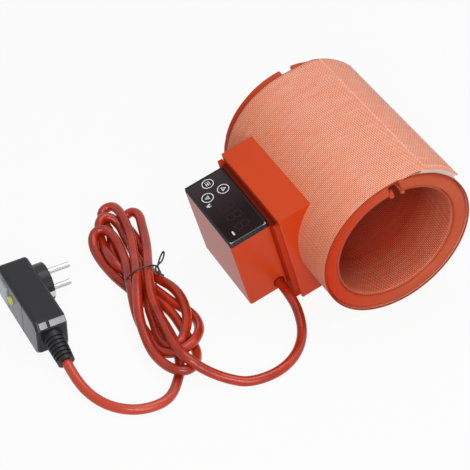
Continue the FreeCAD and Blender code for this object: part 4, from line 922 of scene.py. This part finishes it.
bm = bmesh.new()
bmesh.ops.create_circle(bm, cap_ends=True, segments=20, radius=1.15 * MM)
bmesh.ops.create_circle(
    bm, cap_ends=True, segments=20, radius=0.8 * MM, matrix=Matrix.Translation((1.9 * MM, 1.2 * MM, 0)))
bar(bm, 1.2 * MM, -1.3 * MM, 2.4 * MM, 0.8 * MM)
mark("heat_sign", bm, on_panel(107.9 * MM, 15.9 * MM, glass), "print_white", "blanket")

bm = bmesh.new()
bar(bm, 0, 0, 1.4 * MM, 4.4 * MM)
mark("output_lamp", bm, on_panel(105.6 * MM, -21.4 * MM, glass), "print_white", "blanket")
print("window face at", round(glass, 5))

# %% [markdown]
# ## The panel's lip
# The bezel stands a little above the window and has a sharp, polished slope at its near
# end, which catches the light. A bevel on the CAD part would change its shape, so the lip
# is a piece of its own: a face is inset, its middle is taken out, the rest is raised and
# its upper edges are bevelled.

# %% The panel's lip
LIP_RISE, LIP_IN = 0.55 * MM, 0.45 * MM
frame_low, frame_high = reach("controller_bezel")
bm = bmesh.new()
wide = (frame_high[0] - frame_low[0]) / 2 - LIP_IN
long = (frame_high[1] - frame_low[1]) / 2 - LIP_IN
bar(bm, 0, 0, 2 * wide, 2 * long)
middle_face = bm.faces[:]
bmesh.ops.inset_region(
    bm, faces=middle_face, thickness=1.0 * MM, use_even_offset=True, use_boundary=True)
bmesh.ops.delete(bm, geom=middle_face, context="FACES")
raise_faces(bm, (0, 0, LIP_RISE))
top = [e for e in bm.edges if all(v.co.z > 0.5 * MM for v in e.verts)]
bmesh.ops.bevel(bm, geom=top, offset=0.3 * MM, affect="EDGES", segments=3, profile=0.5, material=-1)
lip_middle = (frame_low[0] + frame_high[0]) / 2
lip_place = on_panel(lip_middle, (frame_low[1] + frame_high[1]) / 2, frame_high[2] - 0.05 * MM)
bmesh.ops.transform(bm, matrix=lip_place, verts=bm.verts)
lip = add("bezel_lip", bm, M["bezel_gloss"])
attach(lip, "blanket")
print("lip round", round(2 * wide, 4), "by", round(2 * long, 4), "m")

# %% [markdown]
# ## Painted highlights on the lip
# A pale line along the bezel's near end is a painted highlight, and its two corners carry
# painted glints. A mask in the material could do it. Thin bars with a brighter finish are
# simpler to place and to move.

# %% Painted highlights on the lip
lip_top = frame_high[2] + 0.03 * MM
near_lip = frame_low[1] + 2.3 * MM
bm = bmesh.new()
# Painted highlight: a pale bar along the near end of the lip.
bar(bm, 0, 0, 2 * wide - 4.5 * MM, 0.5 * MM)
mark("painted_edge_highlight", bm, on_panel(lip_middle, near_lip, lip_top), "painted_edge_highlight", "blanket")
bm = bmesh.new()
# Painted glints: two bright bars at each near corner.
for side in (-1, 1):
    bar(bm, side * (wide - 2.6 * MM), 0, 2.4 * MM, 0.8 * MM)
    bar(bm, side * (wide - 1.6 * MM), 0.9 * MM, 0.7 * MM, 1.6 * MM)
mark("painted_corner_glints", bm, on_panel(lip_middle, near_lip, lip_top + 0.02 * MM),
     "painted_corner_glint", "blanket")
print("lip highlights at y", round(near_lip, 4))

# %% [markdown]
# ## Where the lead comes out
# The lead leaves the box through a hole a little larger than itself, and the rim of that
# hole lies in shadow. A hole can't be cut here, because the box comes from the CAD part. A
# thin dark ring, turned from a short line, is a painted shadow that looks the same from outside.

# %% Where the lead comes out
EXIT_X, EXIT_Z = -75.49 * MM, -50.09 * MM
RIM_DEPTH = 0.35 * MM
box_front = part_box("control_box_shell")[0][1]
bm = bmesh.new()
start = [bm.verts.new((CORD / 2 + step * MM, 0, 0)) for step in (0.15, 1.1)]
line = [bm.edges.new(start)]
bmesh.ops.spin(
    bm, geom=start + line, cent=(0, 0, 0), axis=(0, 1, 0), angle=math.tau, steps=48,
    use_merge=True, use_duplicate=False)
raise_faces(bm, (0, -RIM_DEPTH, 0))
bmesh.ops.translate(bm, verts=bm.verts, vec=(EXIT_X, box_front, EXIT_Z))
# Painted shadow: a dark ring round the lead where it leaves the box.
rim = add("lead_exit_shadow", bm, M["exit_shade"])
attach(rim, "blanket")
print("rim at y", round(box_front, 4))

# %% [markdown]
# ## Stitches
# A line of thread holds the flap's facing: it runs the whole length, turns near the open
# end and goes out to the free edge. A bump in the cloth's material would look flat from
# the side, so each stitch is a small ball, stretched to a thread's shape.

# %% Stitches


def stitch(bm, radius, degrees, y, turned):
    """One stitch on the flap, along the bore or, where turned, round it."""
    x, z = on_arc(radius + 0.15 * MM, degrees)
    lie = Matrix.Rotation(math.radians(90 if turned else 0), 4, "Z")
    size = Matrix.Diagonal((0.45 * MM, 1.5 * MM, 0.35 * MM, 1))
    place = Matrix.Translation((x, y, z)) @ Matrix.Rotation(math.radians(degrees), 4, "Y")
    bmesh.ops.create_icosphere(bm, subdivisions=1, radius=1, matrix=place @ lie @ size)


STITCH_ANGLE = 15.7
STITCH_ROW = -79 * MM
STITCH_STEP = 3.2 * MM
flap_face = FLAP_IN + COVER
bm = bmesh.new()
rows = int((COVER_FAR - 2 * MM - STITCH_ROW) / STITCH_STEP)
for i in range(rows + 1):
    stitch(bm, flap_face, STITCH_ANGLE, STITCH_ROW + STITCH_STEP * (i + 0.5), False)
step_angle = math.degrees(STITCH_STEP / flap_face)
turns = int((FLAP_END - STITCH_ANGLE) / step_angle)
for i in range(turns):
    stitch(bm, flap_face, STITCH_ANGLE + step_angle * (i + 0.5), STITCH_ROW, True)
stitches = add("flap_stitches", bm, M["stitch_thread"])
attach(stitches, "blanket")
print("stitches:", rows + 1 + turns)

# %% [markdown]
# ## Beads of glue
# Where the mat is glued into the slit a little sealant has squeezed out at the near end.
# Six small balls, three at each side of the slit, stand for it. Noise pushes their points
# about, because a drop that has set is never round.

# %% Beads of glue
bm = bmesh.new()
LUMPS = (
    (-10.6, 1.2, 2.3), (-10.1, 3.6, 1.7), (-10.4, 6.2, 1.3),
    (-0.1, 1.0, 2.2), (-0.5, 3.4, 1.5), (-0.3, 8.4, 1.5),
)
for degrees, out, size in LUMPS:
    x, z = on_arc(BORE + out * MM, degrees)
    place = Matrix.Translation((x, NEAR + 1.6 * MM, z)) @ Matrix.Rotation(math.radians(degrees), 4, "Y")
    bmesh.ops.create_icosphere(
        bm, subdivisions=3, radius=size * MM, matrix=place @ Matrix.Diagonal((0.9, 1.0, 1.0, 1)))
for v in bm.verts:
    v.co += v.co.normalized() * noise.noise(v.co * 450) * 1.6 * MM
beads = add("glue_beads", bm, M["sponge"])
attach(beads, "blanket")
print("beads made:", len(LUMPS))

# %% [markdown]
# ## Plates on the plug
# Two pale plates sit on the slope at the plug's cord end. They are thin boxes, turned to
# lie on the slope. Their edges are bevelled, because an edge that is perfectly sharp
# catches no light and looks false. The slope's place is taken from the plug's own box.

# %% Plates on the plug
SLOPE = math.radians(45)
PLATE_LONG, PLATE_THICK = 5.2 * MM, 0.5 * MM
plug_low, plug_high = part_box("plug_front_cover")
slope_y, slope_z = plug_low[1] + 2.7 * MM, plug_high[2] - 3.3 * MM
bm = bmesh.new()
for x, wide_x in ((-266.6, 6.0), (-254.6, 13.0)):
    place = Matrix.Translation((x * MM, slope_y, slope_z)) @ Matrix.Rotation(SLOPE, 4, "X")
    size = Matrix.Diagonal((wide_x * MM, PLATE_LONG, PLATE_THICK, 1))
    bmesh.ops.create_cube(bm, size=1, matrix=place @ size)
bmesh.ops.bevel(
    bm, geom=bm.edges[:], offset=0.15 * MM, affect="EDGES", segments=2, profile=0.5, material=-1)
plates = add("plug_plates", bm, M["pale_label"])
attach(plates, "blanket")
print("plates at", round(slope_y, 4), round(slope_z, 4))

# %% [markdown]
# ## Floor and backdrop
# The photo shows the object on white. A lit wall would need lamps of its own. Here the
# world looks white to the camera, but lights the scene in a softer grey. The table glows
# towards the camera for the same reason, and it still takes a faint shadow.

# %% Floor and backdrop
TABLE_GLOW = 0.92
scene = bpy.context.scene
scene.view_settings.view_transform = "Standard"


def seen_rays(tree):
    """A mask for rays from the camera, also where they pass glass or meet a gloss."""
    path = tree.nodes.new("ShaderNodeLightPath").outputs
    seen = math_node(tree, "MAXIMUM", path["Is Camera Ray"], path["Is Transmission Ray"])
    return math_node(tree, "MAXIMUM", seen, path["Is Glossy Ray"])


world = bpy.data.worlds.new("studio")
scene.world = world
world.use_nodes = True
tree = world.node_tree
back = tree.nodes["Background"]
tree.links.new(blend_colours(tree, seen_rays(tree), "#7A7A7C", "#FFFFFF"), back.inputs["Color"])
back.inputs["Strength"].default_value = 1.0

floor_material, tree, shader = new_material("table", "#DADADA", 0.9, 0.0, 0.1)
bm = bmesh.new()
bmesh.ops.create_grid(bm, x_segments=2, y_segments=2, size=3.0, matrix=Matrix.Translation((0, 0, FLOOR)))
table = add("table", bm, floor_material)
glow = tree.nodes.new("ShaderNodeEmission")
mix = tree.nodes.new("ShaderNodeMixShader")
tree.links.new(math_node(tree, "MULTIPLY", seen_rays(tree), TABLE_GLOW), mix.inputs[0])
tree.links.new(shader.outputs[0], mix.inputs[1])
tree.links.new(glow.outputs[0], mix.inputs[2])
tree.links.new(mix.outputs[0], tree.nodes["Material Output"].inputs["Surface"])
print("the table is at", FLOOR)

# %% [markdown]
# ## Lamps
# The photo's light is soft and comes from all around, most of it from above and from the
# left. A single sun would throw hard shadows. Four square lamps of half a metre and more
# give soft ones. Their powers were set by comparing renders with the photo.

# %% Lamps


def lamp(name, place, target, size, power):
    """A square area lamp that looks at a point."""
    data = bpy.data.lights.new(name, "AREA")
    data.size = size
    data.energy = power
    obj = bpy.data.objects.new(name, data)
    scene.collection.objects.link(obj)
    obj.location = place
    obj.rotation_euler = (Vector(target) - Vector(place)).to_track_quat("-Z", "Y").to_euler()


LAMPS = (
    ("overhead", (0.25, 0.1, 1.3), (0, 0, 0), 0.9, 8.4),
    ("front", (-0.65, -0.85, 0.95), (-0.05, 0, 0), 0.5, 7.6),
    ("near", (-0.3, -1.3, 0.55), (0, 0, 0), 0.6, 6.0),
    ("right", (1.1, -0.2, 0.8), (0, 0, 0), 0.6, 2.2),
)
for one in LAMPS:
    lamp(*one)
print("lamps:", len(LAMPS))

# %% [markdown]
# ## Camera
# The camera stands where the photo was taken from. Its place, direction and long lens were
# found by fitting outline points of the jacket, the saddle and the panel to the photo. The
# three directions of its own axes make its matrix, so it needs no target to look at.

# %% Camera
camera_data = bpy.data.cameras.new("camera")
camera_data.lens = 127.3
camera_data.sensor_width = 36
camera_data.clip_start = 0.01
camera = bpy.data.objects.new("camera", camera_data)
scene.collection.objects.link(camera)
scene.camera = camera
back_way = Vector((-0.35869, -0.64259, 0.67707)).normalized()
azimuth, roll = math.radians(-29.17), math.radians(0.59)
right = Vector((math.cos(azimuth), math.sin(azimuth), 0))
up = back_way.cross(right)
right, up = right * math.cos(roll) + up * math.sin(roll), up * math.cos(roll) - right * math.sin(roll)
camera.matrix_world = Matrix.Translation(Vector((-571.10, -846.39, 876.58)) * MM) @ Matrix(
    (right, up, back_way)).transposed().to_4x4()
print("camera at", tuple(round(c, 3) for c in camera.matrix_world.translation))
